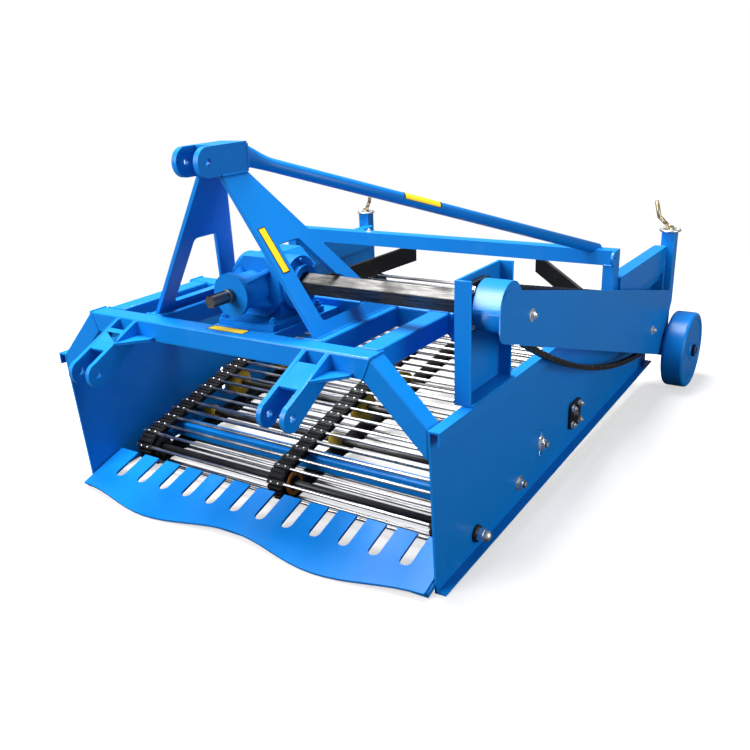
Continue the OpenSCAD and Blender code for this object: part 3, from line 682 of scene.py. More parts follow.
    def band(self, frames: Sequence[Matrix], profile: Sequence[tuple[float, float]]) -> None:
        """Sweeps a closed section round a closed path.

        Args:
            frames: the section's frame at each station.
            profile: the section's points, along the frame's X and Z.
        """
        ring = [self.bm.verts.new(frames[0] @ Vector((x, 0.0, z))) for x, z in profile]
        for pair in zip(ring, ring[1:] + ring[:1]):
            self.bm.edges.new(pair)
        self._pull(ring, frames, closed=True)

    def _pull(self, ring: list[bmesh.types.BMVert], frames: Sequence[Matrix], closed: bool) -> None:
        """Extrudes a ring through frames, then caps it or joins it to its start.

        Args:
            ring: the first section's vertices.
            frames: a frame for each station.
            closed: whether the last section meets the first.
        """
        first = edges = self.edges_among(ring)
        for last, now in zip(frames, frames[1:]):
            made = bmesh.ops.extrude_edge_only(self.bm, edges=edges)["geom"]
            verts = [g for g in made if isinstance(g, bmesh.types.BMVert)]
            edges = self.edges_among(verts)
            bmesh.ops.transform(self.bm, matrix=now @ last.inverted(), verts=verts)
            for face in {f for e in edges for f in e.link_faces}:
                face.smooth = not closed
        if closed:
            bmesh.ops.bridge_loops(self.bm, edges=[*first, *edges])
        else:
            bmesh.ops.contextual_create(self.bm, geom=edges)

    def stamp(self, pattern: "Shape", places: Iterable[Matrix]) -> None:
        """Adds copies of another shape.

        Args:
            pattern: the shape to copy.
            places: a frame for each copy.
        """
        bmesh.ops.recalc_face_normals(pattern.bm, faces=pattern.bm.faces[:])
        master = bpy.data.meshes.new("pattern")
        pattern.bm.to_mesh(master)
        for matrix in places:
            copy = master.copy()
            copy.transform(matrix)
            if matrix.determinant() < 0.0:
                copy.flip_normals()
            self.bm.from_mesh(copy)
            bpy.data.meshes.remove(copy)
        bpy.data.meshes.remove(master)

    def softened(self, node: str, radius: float, segments: int) -> None:
        """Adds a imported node's form to an empty shape, with its long edges rounded.

        Args:
            node: the node's name.
            radius: width of the rounding.
            segments: faces across it.
        """
        self.bm.from_mesh(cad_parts[node].data)
        bmesh.ops.transform(self.bm, matrix=TO_MACHINE, verts=self.bm.verts[:])
        bmesh.ops.remove_doubles(self.bm, verts=self.bm.verts[:], dist=0.004)
        bmesh.ops.dissolve_limit(
            self.bm, angle_limit=self.FLAT, verts=self.bm.verts[:], edges=self.bm.edges[:]
        )
        low, high = self.CURVED
        for face in self.bm.faces:
            face.smooth = any(low < e.calc_face_angle(0.0) < high for e in face.edges)
        sharp = [
            e for e in self.bm.edges
            if e.is_manifold and e.calc_length() > self.SHORTEST and e.calc_face_angle(0.0) > self.SHARP
        ]
        self.round_edges(sharp, radius, segments)

    def piece(
        self, name: str, finish: Finish, *nodes: str, body: Body = Body.FRAME, slot: Slot | None = None
    ) -> None:
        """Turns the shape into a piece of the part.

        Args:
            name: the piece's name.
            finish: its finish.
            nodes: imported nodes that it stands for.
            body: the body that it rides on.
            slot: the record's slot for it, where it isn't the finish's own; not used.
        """
        bmesh.ops.transform(self.bm, matrix=TO_FRAME, verts=self.bm.verts[:])
        bmesh.ops.recalc_face_normals(self.bm, faces=self.bm.faces[:])
        mesh = bpy.data.meshes.new(name)
        self.bm.to_mesh(mesh)
        self.bm.free()
        mesh.materials.append(finish.material())
        made = bpy.data.objects.new(name, mesh)
        bpy.context.scene.collection.objects.link(made)
        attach(made, body.value)
        if nodes:
            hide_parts(*nodes)
        LOG.info("%s: %d faces on %s", name, len(mesh.polygons), body.value)


def dress(finish: Finish, *nodes: str) -> None:
    """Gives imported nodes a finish.

    Args:
        finish: the finish.
        nodes: names of the nodes.
    """
    for node in nodes:
        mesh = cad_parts[node].data
        mesh.materials.clear()
        mesh.materials.append(finish.material())
        LOG.info("%s keeps its form, in %s", node, finish.name)


def shell(
    node: str, name: str, radius: float, finish: Finish, segments: int = 2, body: Body = Body.FRAME
) -> None:
    """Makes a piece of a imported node's form with its edges rounded.

    Args:
        node: the node's name.
        name: the piece's name.
        radius: width of the rounding.
        finish: the piece's finish.
        segments: faces across the rounding.
        body: the body that it rides on.
    """
    shape = Shape()
    shape.softened(node, radius, segments)
    shape.piece(name, finish, node, body=body)


def bent(points: Sequence[Point], radius: float, steps: int = 6) -> list[Vector]:
    """A path through corners with round bends.

    Args:
        points: the corners.
        radius: radius of the bends.
        steps: points in each bend.

    Returns:
        The path's points.
    """
    corners = [Vector(p) for p in points]
    path = [corners[0]]
    for before, corner, after in zip(corners, corners[1:], corners[2:]):
        back, on = (before - corner).normalized(), (after - corner).normalized()
        half = back.angle(on) / 2
        cut = radius / math.tan(half)
        middle = corner + (back + on).normalized() * radius / math.sin(half)
        first = corner + back * cut - middle
        last = corner + on * cut - middle
        path += [middle + first.slerp(last, i / steps) for i in range(steps + 1)]
    return [*path, corners[-1]]


# Fasteners and welds


@dataclass(frozen=True)
class HexBolt:
    """A hexagon bolt or nut on a washer; its seat is at the origin, its axis +Z."""

    radius: float
    head: float
    washer: float
    washer_t: float
    stud: float
    stud_out: float

    def pattern(self) -> Shape:
        """Makes the washer, the head with its turned crown and, where it stands out, the stud.

        Returns:
            The bolt's shape.
        """
        lap, top = 1.0, self.washer_t + self.head
        shape = Shape()
        shape.rod((0, 0, -lap), (0, 0, self.washer_t), self.washer, 18, chamfer=0.6)
        shape.rod((0, 0, self.washer_t), (0, 0, top), self.radius, 6)
        shape.rod((0, 0, top - lap), (0, 0, top + lap), self.radius * 0.82, 16, end_radius=self.radius * 0.7)
        if self.stud_out > 0.0:
            shape.rod((0, 0, top), (0, 0, top + self.stud_out), self.stud, 12, chamfer=0.8)
        return shape


# Kinds of bolt: head radius and height, washer radius and thickness, stud radius and length
CROSSBAR_BOLT = HexBolt(8.0, 6.0, 11.0, 2.0, 4.0, 4.0)
AXLE_BOLT = HexBolt(16.0, 12.0, 24.0, 3.0, 9.0, 10.0)
CROSS_BEARING_BOLT = HexBolt(10.0, 6.0, 13.0, 2.0, 5.0, 0.0)
SIDE_BEARING_BOLT = HexBolt(10.0, 8.0, 13.0, 2.5, 5.0, 5.0)
COVER_BOLT = HexBolt(7.0, 6.0, 9.0, 1.5, 4.0, 0.0)
FOOT_BOLT = HexBolt(11.0, 9.0, 15.0, 2.5, 6.0, 8.0)
GUARD_BOLT = HexBolt(10.0, 8.0, 18.0, 2.5, 6.0, 5.0)
FLAP_BOLT = HexBolt(8.0, 6.0, 14.0, 2.0, 4.0, 4.0)
CRANK_NUT = HexBolt(6.0, 5.0, 8.0, 1.0, 3.0, 3.0)


@dataclass
class Fasteners:
    """Bolts of one finish that ride on the frame, by kind."""

    name: str
    finish: Finish
    places: dict[HexBolt, list[Matrix]] = field(default_factory=dict)

    def add(self, bolt: HexBolt, origin: Point, axis: Point) -> None:
        """Puts a bolt's seat at a point, with its head along an axis."""
        self.places.setdefault(bolt, []).append(at(origin, axis))

    def pair(self, bolt: HexBolt, origin: Point, axis: Point) -> None:
        """Puts a bolt on each side of the machine, given on the +X side."""
        for side in SIDES:
            self.add(bolt, (side * origin[0], *origin[1:]), (side * axis[0], *axis[1:]))

    def square(self, bolt: HexBolt, origin: Point, reach: float, sides: Sequence[int] = SIDES) -> None:
        """Puts four bolts at a square flange's corners, facing away from the mid-plane.

        Args:
            bolt: the kind of bolt.
            origin: the flange's middle on its outer face, on the +X side.
            reach: half the spacing.
            sides: the sides of the machine that have it.
        """
        x, y, z = origin
        for side, dy, dz in product(sides, SIDES, SIDES):
            self.add(bolt, (side * x, y + dy * reach, z + dz * reach), (side, 0, 0))

    def build(self) -> None:
        """Makes one piece of all the bolts."""
        shape = Shape()
        for bolt, places in self.places.items():
            shape.stamp(bolt.pattern(), places)
        shape.piece(self.name, self.finish)


@dataclass
class Welds:
    """Weld beads along the frame's joints."""

    radius: float = 3.2
    ripple: float = 0.5
    pitch: float = 4.0
    seams: list[list[Vector]] = field(default_factory=list)

    def run(self, *points: Point) -> None:
        """Adds a bead through points."""
        self.seams.append([Vector(p) for p in points])

    def both(self, *points: Point) -> None:
        """Adds a bead on each side of the machine."""
        for side in SIDES:
            self.run(*[(side * x, y, z) for x, y, z in points])

    def ring(self, centre: Point, axis: Point, radius: float, steps: int = 24) -> None:
        """Adds a round bead.

        Args:
            centre: the ring's middle.
            axis: its axis.
            radius: its radius.
            steps: points round it.
        """
        seat = at(centre, axis)
        angles = [2 * math.pi * i / steps for i in range(steps + 1)]
        self.run(*[seat @ Vector((radius * math.cos(a), radius * math.sin(a), 0.0)) for a in angles])

    def build(self) -> None:
        """Makes one piece of all the beads."""
        shape = Shape()
        for seam in self.seams:
            path = [seam[0]]
            for start, end in zip(seam, seam[1:]):
                steps = max(1, round((end - start).length / self.pitch))
                path += [start.lerp(end, i / steps) for i in range(1, steps + 1)]
            bead = Shape()
            bead.sweep(path, lambda i: self.radius + self.ripple * (i % 2), 6)
            shape.stamp(bead, [Matrix()])
            bead.bm.free()
        shape.piece("weld_beads", BLUE)


# Sub-assemblies


@dataclass
class WeldedFrame:
    """Portals, rails, mast, hitch brackets, crossbar and side plates, with softened edges and weld beads."""

    welds: Welds
    bolts: Fasteners
    tube_edge: float = 5.0
    plate_edge: float = 1.4
    sheet_edge: float = 0.9
    tubes: tuple[str, ...] = (
        "front_portal", "rear_portal", "outer_rails", "inner_rails", "gauge_arm_left", "gauge_arm_right",
        "inner_tube",
    )
    plates: tuple[str, ...] = (
        "mast_plate_left", "mast_plate_right", "mast_head", "hitch_bracket_left", "hitch_bracket_right",
        "rear_crossbar", "gearbox_base", "blade_bar", "digging_blade", "drive_upright",
        "gauge_sleeve_left", "gauge_sleeve_right",
    )
    sheets: tuple[str, ...] = ("side_plate_left", "side_plate_right", "chain_guard")
    portals: tuple[tuple[float, float], ...] = ((0.0, 60.0), (430.0, 490.0))
    mitre: tuple[float, float] = (474.0, 499.0)
    rails: tuple[tuple[float, float], ...] = ((425.0, 485.0), (258.0, 318.0))
    mast_thick: float = 12.0
    mast_foot: tuple[float, float] = (72.0, 424.0)
    head_seam: tuple[Point, Point] = ((45.5, 44.0, 1028.0), (45.5, 142.0, 1028.0))
    head_corner: tuple[Point, Point] = ((44.5, 150.0, 1036.0), (44.5, 150.0, 1099.0))
    hitch_x: float = 341.5
    ear_in: float = 28.5
    ear_t: float = 14.0
    ear_root: tuple[float, float] = (564.0, 618.0)
    plate_top: float = 466.0
    upright_y: tuple[float, float] = (177.0, 425.0)
    upright_out: float = 686.0
    upright_in: tuple[float, float] = (632.0, 475.0)
    post_x: tuple[float, float] = (650.0, 690.0)
    post_y: tuple[float, float] = (1215.0, 1265.0)
    post_top: float = 607.0
    arm_x: float = 700.0
    arm_end: float = 1800.0
    arm_edge: float = 6.0
    crossbar_bolt: Point = (-300.0, 1240.0, 657.0)

    def build(self) -> None:
        """Makes the softened copies and lays the beads."""
        for nodes, radius, segments in (
            (self.tubes, self.tube_edge, 3),
            (self.plates, self.plate_edge, 2),
            (self.sheets, self.sheet_edge, 2),
        ):
            for node in nodes:
                shell(node, f"{node}_shell", radius, BLUE, segments)
        self.weld_portals()
        self.weld_mast()
        self.weld_tail()
        self.bolts.add(CROSSBAR_BOLT, self.crossbar_bolt, (0, 0, 1))

    def weld_portals(self) -> None:
        """Beads at the portals' mitres and at the rails' ends."""
        low, high = FRAME_TOP - TUBE, FRAME_TOP
        inner, outer = self.mitre
        for front, rear in self.portals:
            self.welds.both(
                (inner, front, low), (outer, front, high), (outer, rear, high), (inner, rear, low))
        ends = (self.portals[0][1], self.portals[1][0])
        for x, y in product([x for rail in self.rails for x in rail], ends):
            self.welds.both((x, y, low), (x, y, high))
        for (left, right), y in product(self.rails, ends):
            self.welds.both((left, y, high), (right, y, high))

    def weld_mast(self) -> None:
        """Beads at the mast plates' feet, at the mast head and at the roots of the hitch ears."""
        half = self.mast_thick / 2 / math.cos(MAST_LEAN)
        for x in (INNER_RAIL_X - half, INNER_RAIL_X + half):
            self.welds.both(*[(x, y, FRAME_TOP) for y in self.mast_foot])
        self.welds.both(*self.head_seam)
        self.welds.both(*self.head_corner)
        far = self.ear_in + self.ear_t
        for dx in (-far, -self.ear_in, self.ear_in, far):
            self.welds.both(*[(self.hitch_x + dx, 0.0, z) for z in self.ear_root])

    def weld_tail(self) -> None:
        """Beads at the upright's foot, the crossbar's posts and the gauge arms."""
        top, (inner, outer), (front, rear) = self.plate_top, self.post_x, self.post_y
        self.welds.run(*[(self.upright_out, y, top) for y in self.upright_y])
        self.welds.run(*[(self.upright_in[0], y, self.upright_in[1]) for y in self.upright_y])
        self.welds.both((inner, front, top), (outer, front, top))
        self.welds.both((outer, front, top), (outer, rear, top))
        self.welds.both((inner, front, self.post_top), (outer, front, self.post_top))
        low, high = node_box("gauge_arm_right")
        self.welds.both(
            (low.x + self.arm_edge, high.y, high.z), (self.arm_x, high.y, high.z), (self.arm_x, high.y, top))
        self.welds.both((self.arm_x, rear, top), (self.arm_x, self.arm_end, top))


@dataclass
class TopStay:
    """Round stay, pressed flat where it meets the mast head, with a blank label."""

    welds: Welds
    root: Point = (0.0, 150.0, 1066.0)
    foot: Point = (615.0, 1240.0, 657.0)
    radius: float = 18.0
    flat_wide: float = 7.0
    flat_tall: float = 29.0
    flat_lift: float = 8.0
    neck: float = 110.0
    neck_steps: int = 10
    sunk: float = 8.0
    weld_gap: float = 3.0
    label_at: float = 0.45
    label_len: float = 135.0
    label_wrap: float = math.radians(84.0)
    label_face: Point = (0.72, -0.15, 0.68)
    label_t: float = 0.4

    def __post_init__(self) -> None:
        """Works out the stay's direction and length."""
        span = Vector(self.foot) - Vector(self.root)
        self.length = span.length
        self.run = span.normalized()

    def build(self) -> None:
        """Makes the tube, the bead at its foot and the label with its border."""
        self.build_tube()
        self.welds.ring(self.foot, (0.0, 0.0, 1.0), self.radius + self.weld_gap)
        self.build_label("stay_label_border", LABEL_BLACK, 0.5, 1.0, 1.0)
        self.build_label("stay_label", LABEL_YELLOW, 0.8, 0.92, 0.86)

    def build_tube(self) -> None:
        """Makes the tube, from its flat end at the head to its foot on the crossbar."""
        wide = Vector((0.0, 0.0, 1.0)).cross(self.run).normalized()
        tall = self.run.cross(wide)
        stations = [(-self.sunk, 0.0)]
        for t in (i / self.neck_steps for i in range(self.neck_steps + 1)):
            stations.append((self.neck * t, t * t * (3 - 2 * t)))
        stations.append((self.length + self.sunk, 1.0))
        frames = []
        for s, blend in stations:
            half_wide = self.flat_wide + (self.radius - self.flat_wide) * blend
            half_tall = self.flat_tall + (self.radius - self.flat_tall) * blend
            middle = Vector(self.root) + self.run * s + tall * self.flat_lift * (1.0 - blend)
            frames.append(basis(wide * half_wide, tall * half_tall, self.run, middle))
        shape = Shape()
        shape.tube(frames, 28)
        shape.piece("top_stay_tube", BLUE, "top_stay")

    def build_label(self, name: str, finish: Finish, lift: float, length: float, width: float) -> None:
        """Makes one layer of the label, curved round the tube.

        Args:
            name: the layer's name.
            finish: its finish.
            lift: its height over the tube.
            length: share of the label's length.
            width: share of the label's width.
        """
        middle = Vector(self.root).lerp(Vector(self.foot), self.label_at)
        face = Vector(self.label_face)
        up = (face - self.run * self.run.dot(face)).normalized()
        wrap = self.label_wrap * width
        start = middle + Matrix.Rotation(-wrap / 2, 4, self.run) @ (up * (self.radius + lift))
        reach = self.run * self.label_len * length / 2
        shape = Shape()
        verts = [shape.bm.verts.new(p) for p in (start - reach, start + reach)]
        edge = shape.bm.edges.new(verts)
        bmesh.ops.spin(
            shape.bm, geom=[*verts, edge], cent=middle, axis=self.run, angle=wrap, steps=10,
            use_duplicate=False,
        )
        bmesh.ops.recalc_face_normals(shape.bm, faces=shape.bm.faces[:])
        bmesh.ops.solidify(shape.bm, geom=shape.bm.faces[:], thickness=self.label_t)
        shape.piece(name, finish)


@dataclass
class Labels:
    """Blank yellow labels on the mast strut and the front beam."""

    border: float = 3.0
    thick: float = 0.6
    rise: float = 0.3
    sunk: float = 0.2
    corner: float = 2.0
    beam_at: Point = (20.0, 36.0, FRAME_TOP)
    beam_size: tuple[float, float] = (128.0, 34.0)
    strut_foot: Point = (INNER_RAIL_X, 99.0, FRAME_TOP)
    strut_rake: float = -0.0525
    strut_face: float = 6.0
    strut_up: float = 252.0
    strut_size: tuple[float, float] = (30.0, 132.0)

    def label(self, name: str, seat: Matrix, size: tuple[float, float]) -> None:
        """Makes one label with its border.

        Args:
            name: the label's name.
            seat: frame at its middle, with +Z out of the surface.
            size: width along the frame's X and height along its Y.
        """
        for inset, top, finish, suffix in (
            (0.0, self.thick, LABEL_BLACK, "_border"),
            (self.border, self.thick + self.rise, LABEL_YELLOW, ""),
        ):
            x, y = size[0] / 2 - inset, size[1] / 2 - inset
            shape = Shape()
            shape.plate((-x, -y, -self.sunk), (x, y, top), self.corner, seat, 3)
            shape.piece(name + suffix, finish)

    def build(self) -> None:
        """Makes the labels."""
        self.label("beam_label", at(self.beam_at), self.beam_size)
        up = Vector((-math.sin(MAST_LEAN), self.strut_rake, math.cos(MAST_LEAN))).normalized()
        out = Vector((math.cos(MAST_LEAN), 0.0, math.sin(MAST_LEAN)))
        middle = Vector(self.strut_foot) + up * self.strut_up + out * self.strut_face
        self.label("mast_label", basis(up.cross(out).normalized(), up, out, middle), self.strut_size)


@dataclass(frozen=True)
class FlangeBearing:
    """Square cast flange with a domed housing, an insert and a grease nipple; its seat is at the origin."""

    width: float
    thick: float
    dome: float
    height: float
    bore: float

    def pattern(self) -> Shape:
        """Makes the flange, the housing, four ribs towards the corners and the nipple.

        Returns:
            The bearing's shape, along +Z.
        """
        half, top = self.width / 2, self.height
        shape = Shape()
        shape.plate((-half, -half, 0.0), (half, half, self.thick), self.width * 0.16, Matrix(), 5)
        housing = [
            (self.dome, self.thick * 0.6), (self.dome, self.thick + 1.0), (self.dome * 0.92, top - 5.0),
            (self.dome * 0.84, top - 1.0), (self.dome * 0.7, top - 1.0), (self.dome * 0.68, top - 4.0),
        ]
        insert = [
            (self.dome * 0.6, top - 4.0), (self.dome * 0.58, top),
            (self.bore + 1.5, top), (self.bore, top - 1.0),
        ]
        base = (self.bore, self.thick * 0.5)
        shape.lathe([base, *housing, *insert, base], (0, 0, 0), (0, 0, 1), 32)
        for turn in range(4):
            spin = Matrix.Rotation(math.radians(45.0 + 90.0 * turn), 4, "Z")
            shape.box((self.dome * 0.8, -4.0, 2.0), (half * 1.08, 4.0, self.thick + 4.0), 1.5, 2, spin)
        nipple = Vector((0.0, self.dome * 0.8, self.height * 0.7))
        shape.rod(nipple, nipple + Vector((0.0, 8.0, 5.0)), 4.0, 8, 3.0)
        return shape


@dataclass
class Bearings:
    """Flange bearings of the cross shaft, the guide rollers and the drive shaft."""

    bolts: Fasteners
    cross: FlangeBearing = FlangeBearing(124.0, 14.0, 46.0, 27.0, 17.6)
    guide: FlangeBearing = FlangeBearing(92.0, 10.0, 30.0, 18.0, 10.2)
    drive: FlangeBearing = FlangeBearing(112.0, 10.0, 40.0, 18.0, 20.2)
    cross_reach: float = 44.0
    side_inset: float = 17.0

    def build(self) -> None:
        """Makes the bearings."""
        seat_x, place = node_box("drive_bearing")[0].x, node_wheel("drive_bearing")
        shape = Shape()
        shape.stamp(self.cross.pattern(), [at((seat_x, place.y, place.z), (1, 0, 0))])
        shape.piece("cross_shaft_bearing", OILED_BLACK, "drive_bearing")
        face = (seat_x + self.cross.thick, place.y, place.z)
        self.bolts.square(CROSS_BEARING_BOLT, face, self.cross_reach, (1,))
        shape = Shape()
        for bearing, place in ((self.guide, GUIDE), (self.drive, node_wheel("rear_sprocket"))):
            seat = at((HALF_WIDTH, place.y, place.z), (1, 0, 0))
            shape.stamp(bearing.pattern(), [seat, mirrored(seat)])
            face = (HALF_WIDTH + bearing.thick, place.y, place.z)
            self.bolts.square(SIDE_BEARING_BOLT, face, bearing.width / 2 - self.side_inset)
        shape.piece("side_flange_bearings", OILED_BLACK, "side_bearings")


@dataclass
class WrapLoop:
    """A closed loop that wraps wheels anticlockwise, seen along +X, at a height over their radius."""

    wheels: Sequence[Wheel]
    height: float
    spans: list[tuple[float, float]] = field(init=False)
    lengths: list[tuple[float, float]] = field(init=False)

    def __post_init__(self) -> None:
        """Works out each wheel's arc and the run after it."""
        count = len(self.wheels)
        normals = [self._normal(i) for i in range(count)]
        self.spans, self.lengths = [], []
        for i, wheel in enumerate(self.wheels):
            start, end = normals[i - 1], normals[i]
            while end < start:
                end += 2 * math.pi
            after = self.wheels[(i + 1) % count]
            apart = math.hypot(after.y - wheel.y, after.z - wheel.z)
            run = math.sqrt(apart**2 - (wheel.r - after.r) ** 2)
            self.spans.append((start, end))
            self.lengths.append(((wheel.r + self.height) * (end - start), run))

    def _normal(self, i: int) -> float:
        """Outward normal on the run from a wheel to the next.

        Args:
            i: the wheel's number.

        Returns:
            The normal's angle.
        """
        a, b = self.wheels[i], self.wheels[(i + 1) % len(self.wheels)]
        dy, dz = b.y - a.y, b.z - a.z
        return math.atan2(dz, dy) - math.acos((a.r - b.r) / math.hypot(dy, dz))

    @property
    def total(self) -> float:
        """Length of the loop."""
        return sum(arc + run for arc, run in self.lengths)

    def station(self, s: float) -> tuple[Vector, float]:
        """Point on the loop.

        Args:
            s: length along the loop.

        Returns:
            Its place in the mid-plane and the normal's angle.
        """
        s %= self.total
        for wheel, span, (arc, run) in zip(self.wheels, self.spans, self.lengths):
            if s <= arc + run:
                angle = span[0] + min(s, arc) / (wheel.r + self.height)
                past = max(0.0, s - arc) * Vector((0.0, -math.sin(angle), math.cos(angle)))
                return wheel.rim(angle, self.height) + past, angle
            s -= arc + run
        return self.station(0.0)

    def frame_at(self, s: float, x: float = 0.0, lift: float = 0.0) -> Matrix:
        """Frame on the loop.

        Args:
            s: length along the loop.
            x: place across the machine.
            lift: height over the loop.

        Returns:
            A frame with X across, Y along the loop and Z outwards.
        """
        point, angle = self.station(s)
        out = Vector((0.0, math.cos(angle), math.sin(angle)))
        return basis(ACROSS, out.cross(ACROSS), out, point + ACROSS * x + out * lift)


@dataclass
class RodWeb:
    """Rod web: steel rods riveted to three cleated belts, and the rollers inside the loop."""

    bolts: Fasteners
    carrier: Wheel = Wheel(700.0, 158.0, 52.0)
    lower_guide: Wheel = Wheel(538.0, 92.0, 26.0)
    belt_x: float = 575.0
    belt_w: float = 60.0
    belt_seat: float = 0.8
    belt_t: float = 8.0
    cleat_h: float = 13.0
    cleat_sunk: float = 4.0
    rib_at: float = 0.27
    rib_half: float = 0.17
    rib_inset: float = 3.0
    rod_d: float = 11.0
    rod_half: float = 618.0
    rod_gap: float = 17.0
    rod_pitch: float = 50.0
    rod_lift: float = 0.3
    clip_half: tuple[float, float] = (23.0, 6.5)
    ear_half: tuple[float, float] = (5.0, 8.0)
    ear_x: float = 27.0
    rivet_x: float = 14.0
    bar_r: float = 10.0
    bar_out: float = 20.0
    axle_r: float = 12.5
    axle_out: float = 30.0
    front_half: float = 34.0
    nut_r: float = 20.0
    nut_ends: tuple[float, float] = (10.0, 26.0)
    white_rim_x: float = 607.0
    orange_rim_x: float = 33.0

    def __post_init__(self) -> None:
        """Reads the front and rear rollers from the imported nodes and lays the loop."""
        self.front = node_wheel("front_rollers")
        wheels = (self.front, GUIDE, node_wheel("drive_rollers"), self.carrier)
        self.loop = WrapLoop(wheels, self.belt_seat + self.belt_t)
        self.count = round(self.loop.total / self.rod_pitch)
        self.pitch = self.loop.total / self.count
        self.belts = (-self.belt_x, 0.0, self.belt_x)

    def build(self) -> None:
        """Makes the web, its rollers and their axle bolts on the side plates."""
        self.build_rods()
        self.build_belts()
        self.build_clips()
        self.build_front_rollers()
        self.build_front_nuts()
        dress(SHAFT_STEEL, "drive_rollers")
        self.build_carriers()
        for wheel in (self.carrier, self.lower_guide):
            self.bolts.pair(AXLE_BOLT, (HALF_WIDTH, wheel.y, wheel.z), (1, 0, 0))

    def rod_frame(self, k: int, x: float = 0.0, lift: float = 0.0) -> Matrix:
        """Frame on the belt's floor under a rod, midway between the cleats beside it.

        Args:
            k: the rod's number.
            x: place across the machine.
            lift: height over the floor.

        Returns:
            The frame.
        """
        s = k * self.pitch
        sides = [self.loop.station(s + d * self.rod_gap / 2)[0] for d in SIDES]
        matrix = self.loop.frame_at(s)
        matrix.translation = (sides[0] + sides[1]) / 2 + ACROSS * x + matrix.col[2].xyz * lift
        return matrix

    def build_rods(self) -> None:
        """Round rods with rounded ends."""
        rod, shape, r = Shape(), Shape(), self.rod_d / 2
        rod.rod((-self.rod_half, 0, 0), (self.rod_half, 0, 0), r, 12, chamfer=1.2)
        shape.stamp(rod, [self.rod_frame(k, lift=r + self.rod_lift) for k in range(self.count)])
        shape.piece("round_rods", ROD_STEEL, "web_rods")

    def build_belts(self) -> None:
        """Belts with a ribbed cleat between each two rods."""
        half, length = self.belt_w / 2, self.pitch - self.rod_gap
        cleat = Shape()
        top, rib_x = self.cleat_h - self.cleat_sunk, half - self.rib_inset
        cleat.box((-half, -length / 2, -self.cleat_sunk), (half, length / 2, top), 1.6)
        for y in (-self.rib_at, self.rib_at):
            low, high = (y - self.rib_half) * length, (y + self.rib_half) * length
            cleat.box((-rib_x, low, 1.0), (rib_x, high, self.cleat_h), 2.0)
        shape = Shape()
        steps = 4 * self.count
        profile = [(-half, -self.belt_t), (half, -self.belt_t), (half, 0.0), (-half, 0.0)]
        for x in self.belts:
            belt = Shape()
            belt.band([self.loop.frame_at(i * self.loop.total / steps, x) for i in range(steps)], profile)
            shape.stamp(belt, [Matrix()])
            shape.stamp(cleat, [self.loop.frame_at((k + 0.5) * self.pitch, x) for k in range(self.count)])
        shape.piece("cleated_belts", RUBBER, "web_belts")

    def build_clips(self) -> None:
        """Flat dark clips over the rods, each with two bright rivets."""
        clip, rivet, top = Shape(), Shape(), self.rod_d
        (wide, long), (ear_wide, ear_long) = self.clip_half, self.ear_half
        clip.box((-wide, -long, top - 1.0), (wide, long, top + 2.2), 1.2)
        for x in (-self.ear_x, self.ear_x):
            clip.box((x - ear_wide, -ear_long, self.rod_lift), (x + ear_wide, ear_long, top + 1.6), 2.4)
        dome = [(0.0, top + 5.0), (3.4, top + 4.0), (4.6, top + 1.6), (0.0, top + 1.6)]
        for x in (-self.rivet_x, self.rivet_x):
            rivet.lathe(dome, (x, 0, 0), (0, 0, 1), 10)
        places = [self.rod_frame(k, x) for k in range(self.count) for x in self.belts]
        for pattern, name, finish in ((clip, "rod_clips", OILED_BLACK), (rivet, "rod_rivets", PLATED)):
            shape = Shape()
            shape.stamp(pattern, places)
            shape.piece(name, finish)

    def build_carriers(self) -> None:
        """Nylon rollers under the belts and the bars that carry them."""
        rollers, bars = Shape(), Shape()
        end, reach = self.belt_w / 2 - 5.0, HALF_WIDTH + self.bar_out
        for wheel in (self.carrier, GUIDE, self.lower_guide):
            bars.rod((-reach, wheel.y, wheel.z), (reach, wheel.y, wheel.z), self.bar_r, 18)
            edge = wheel.r - 4.0
            rim = [(edge - 9, -end), (edge - 8, 2 - end), (edge, 2 - end), (wheel.r, 6 - end)]
            for x in self.belts:
                rollers.lathe(spool([(self.bar_r, -end), *rim]), (x, wheel.y, wheel.z), (1, 0, 0), 28)
        rollers.piece("nylon_rollers", NYLON, "carrier_rollers")
        bars.piece("roller_bars", SHAFT_STEEL)

    def build_front_rollers(self) -> None:
        """Front rollers with rims, on one axle."""
        y, z, r = self.front.y, self.front.z, self.front.r
        bore, end, reach = self.axle_r - 0.5, self.front_half, HALF_WIDTH + self.axle_out
        shape = Shape()
        shape.rod((-reach, y, z), (reach, y, z), self.axle_r, 20)
        half = [(bore, -end), (r - 12, -end), (r - 9, 4 - end), (r, 4 - end)]
        for x in self.belts:
            shape.lathe(spool(half), (x, y, z), (1, 0, 0), 32)
        shape.piece("front_roller_row", OILED_BLACK, "front_rollers", slot=Slot.DARK_STEEL)
        for name, finish, rim_x in (
            ("front_rims_white", WHITE_NYLON, self.white_rim_x),
            ("front_rims_orange", ORANGE_NYLON, self.orange_rim_x),
        ):
            rims = Shape()
            for x in (-rim_x, rim_x):
                rims.lathe(spool([(r - 15, -3.0), (r - 2, -3.0), (r, -1.5)]), (x, y, z), (1, 0, 0), 36)
            rims.piece(name, finish)

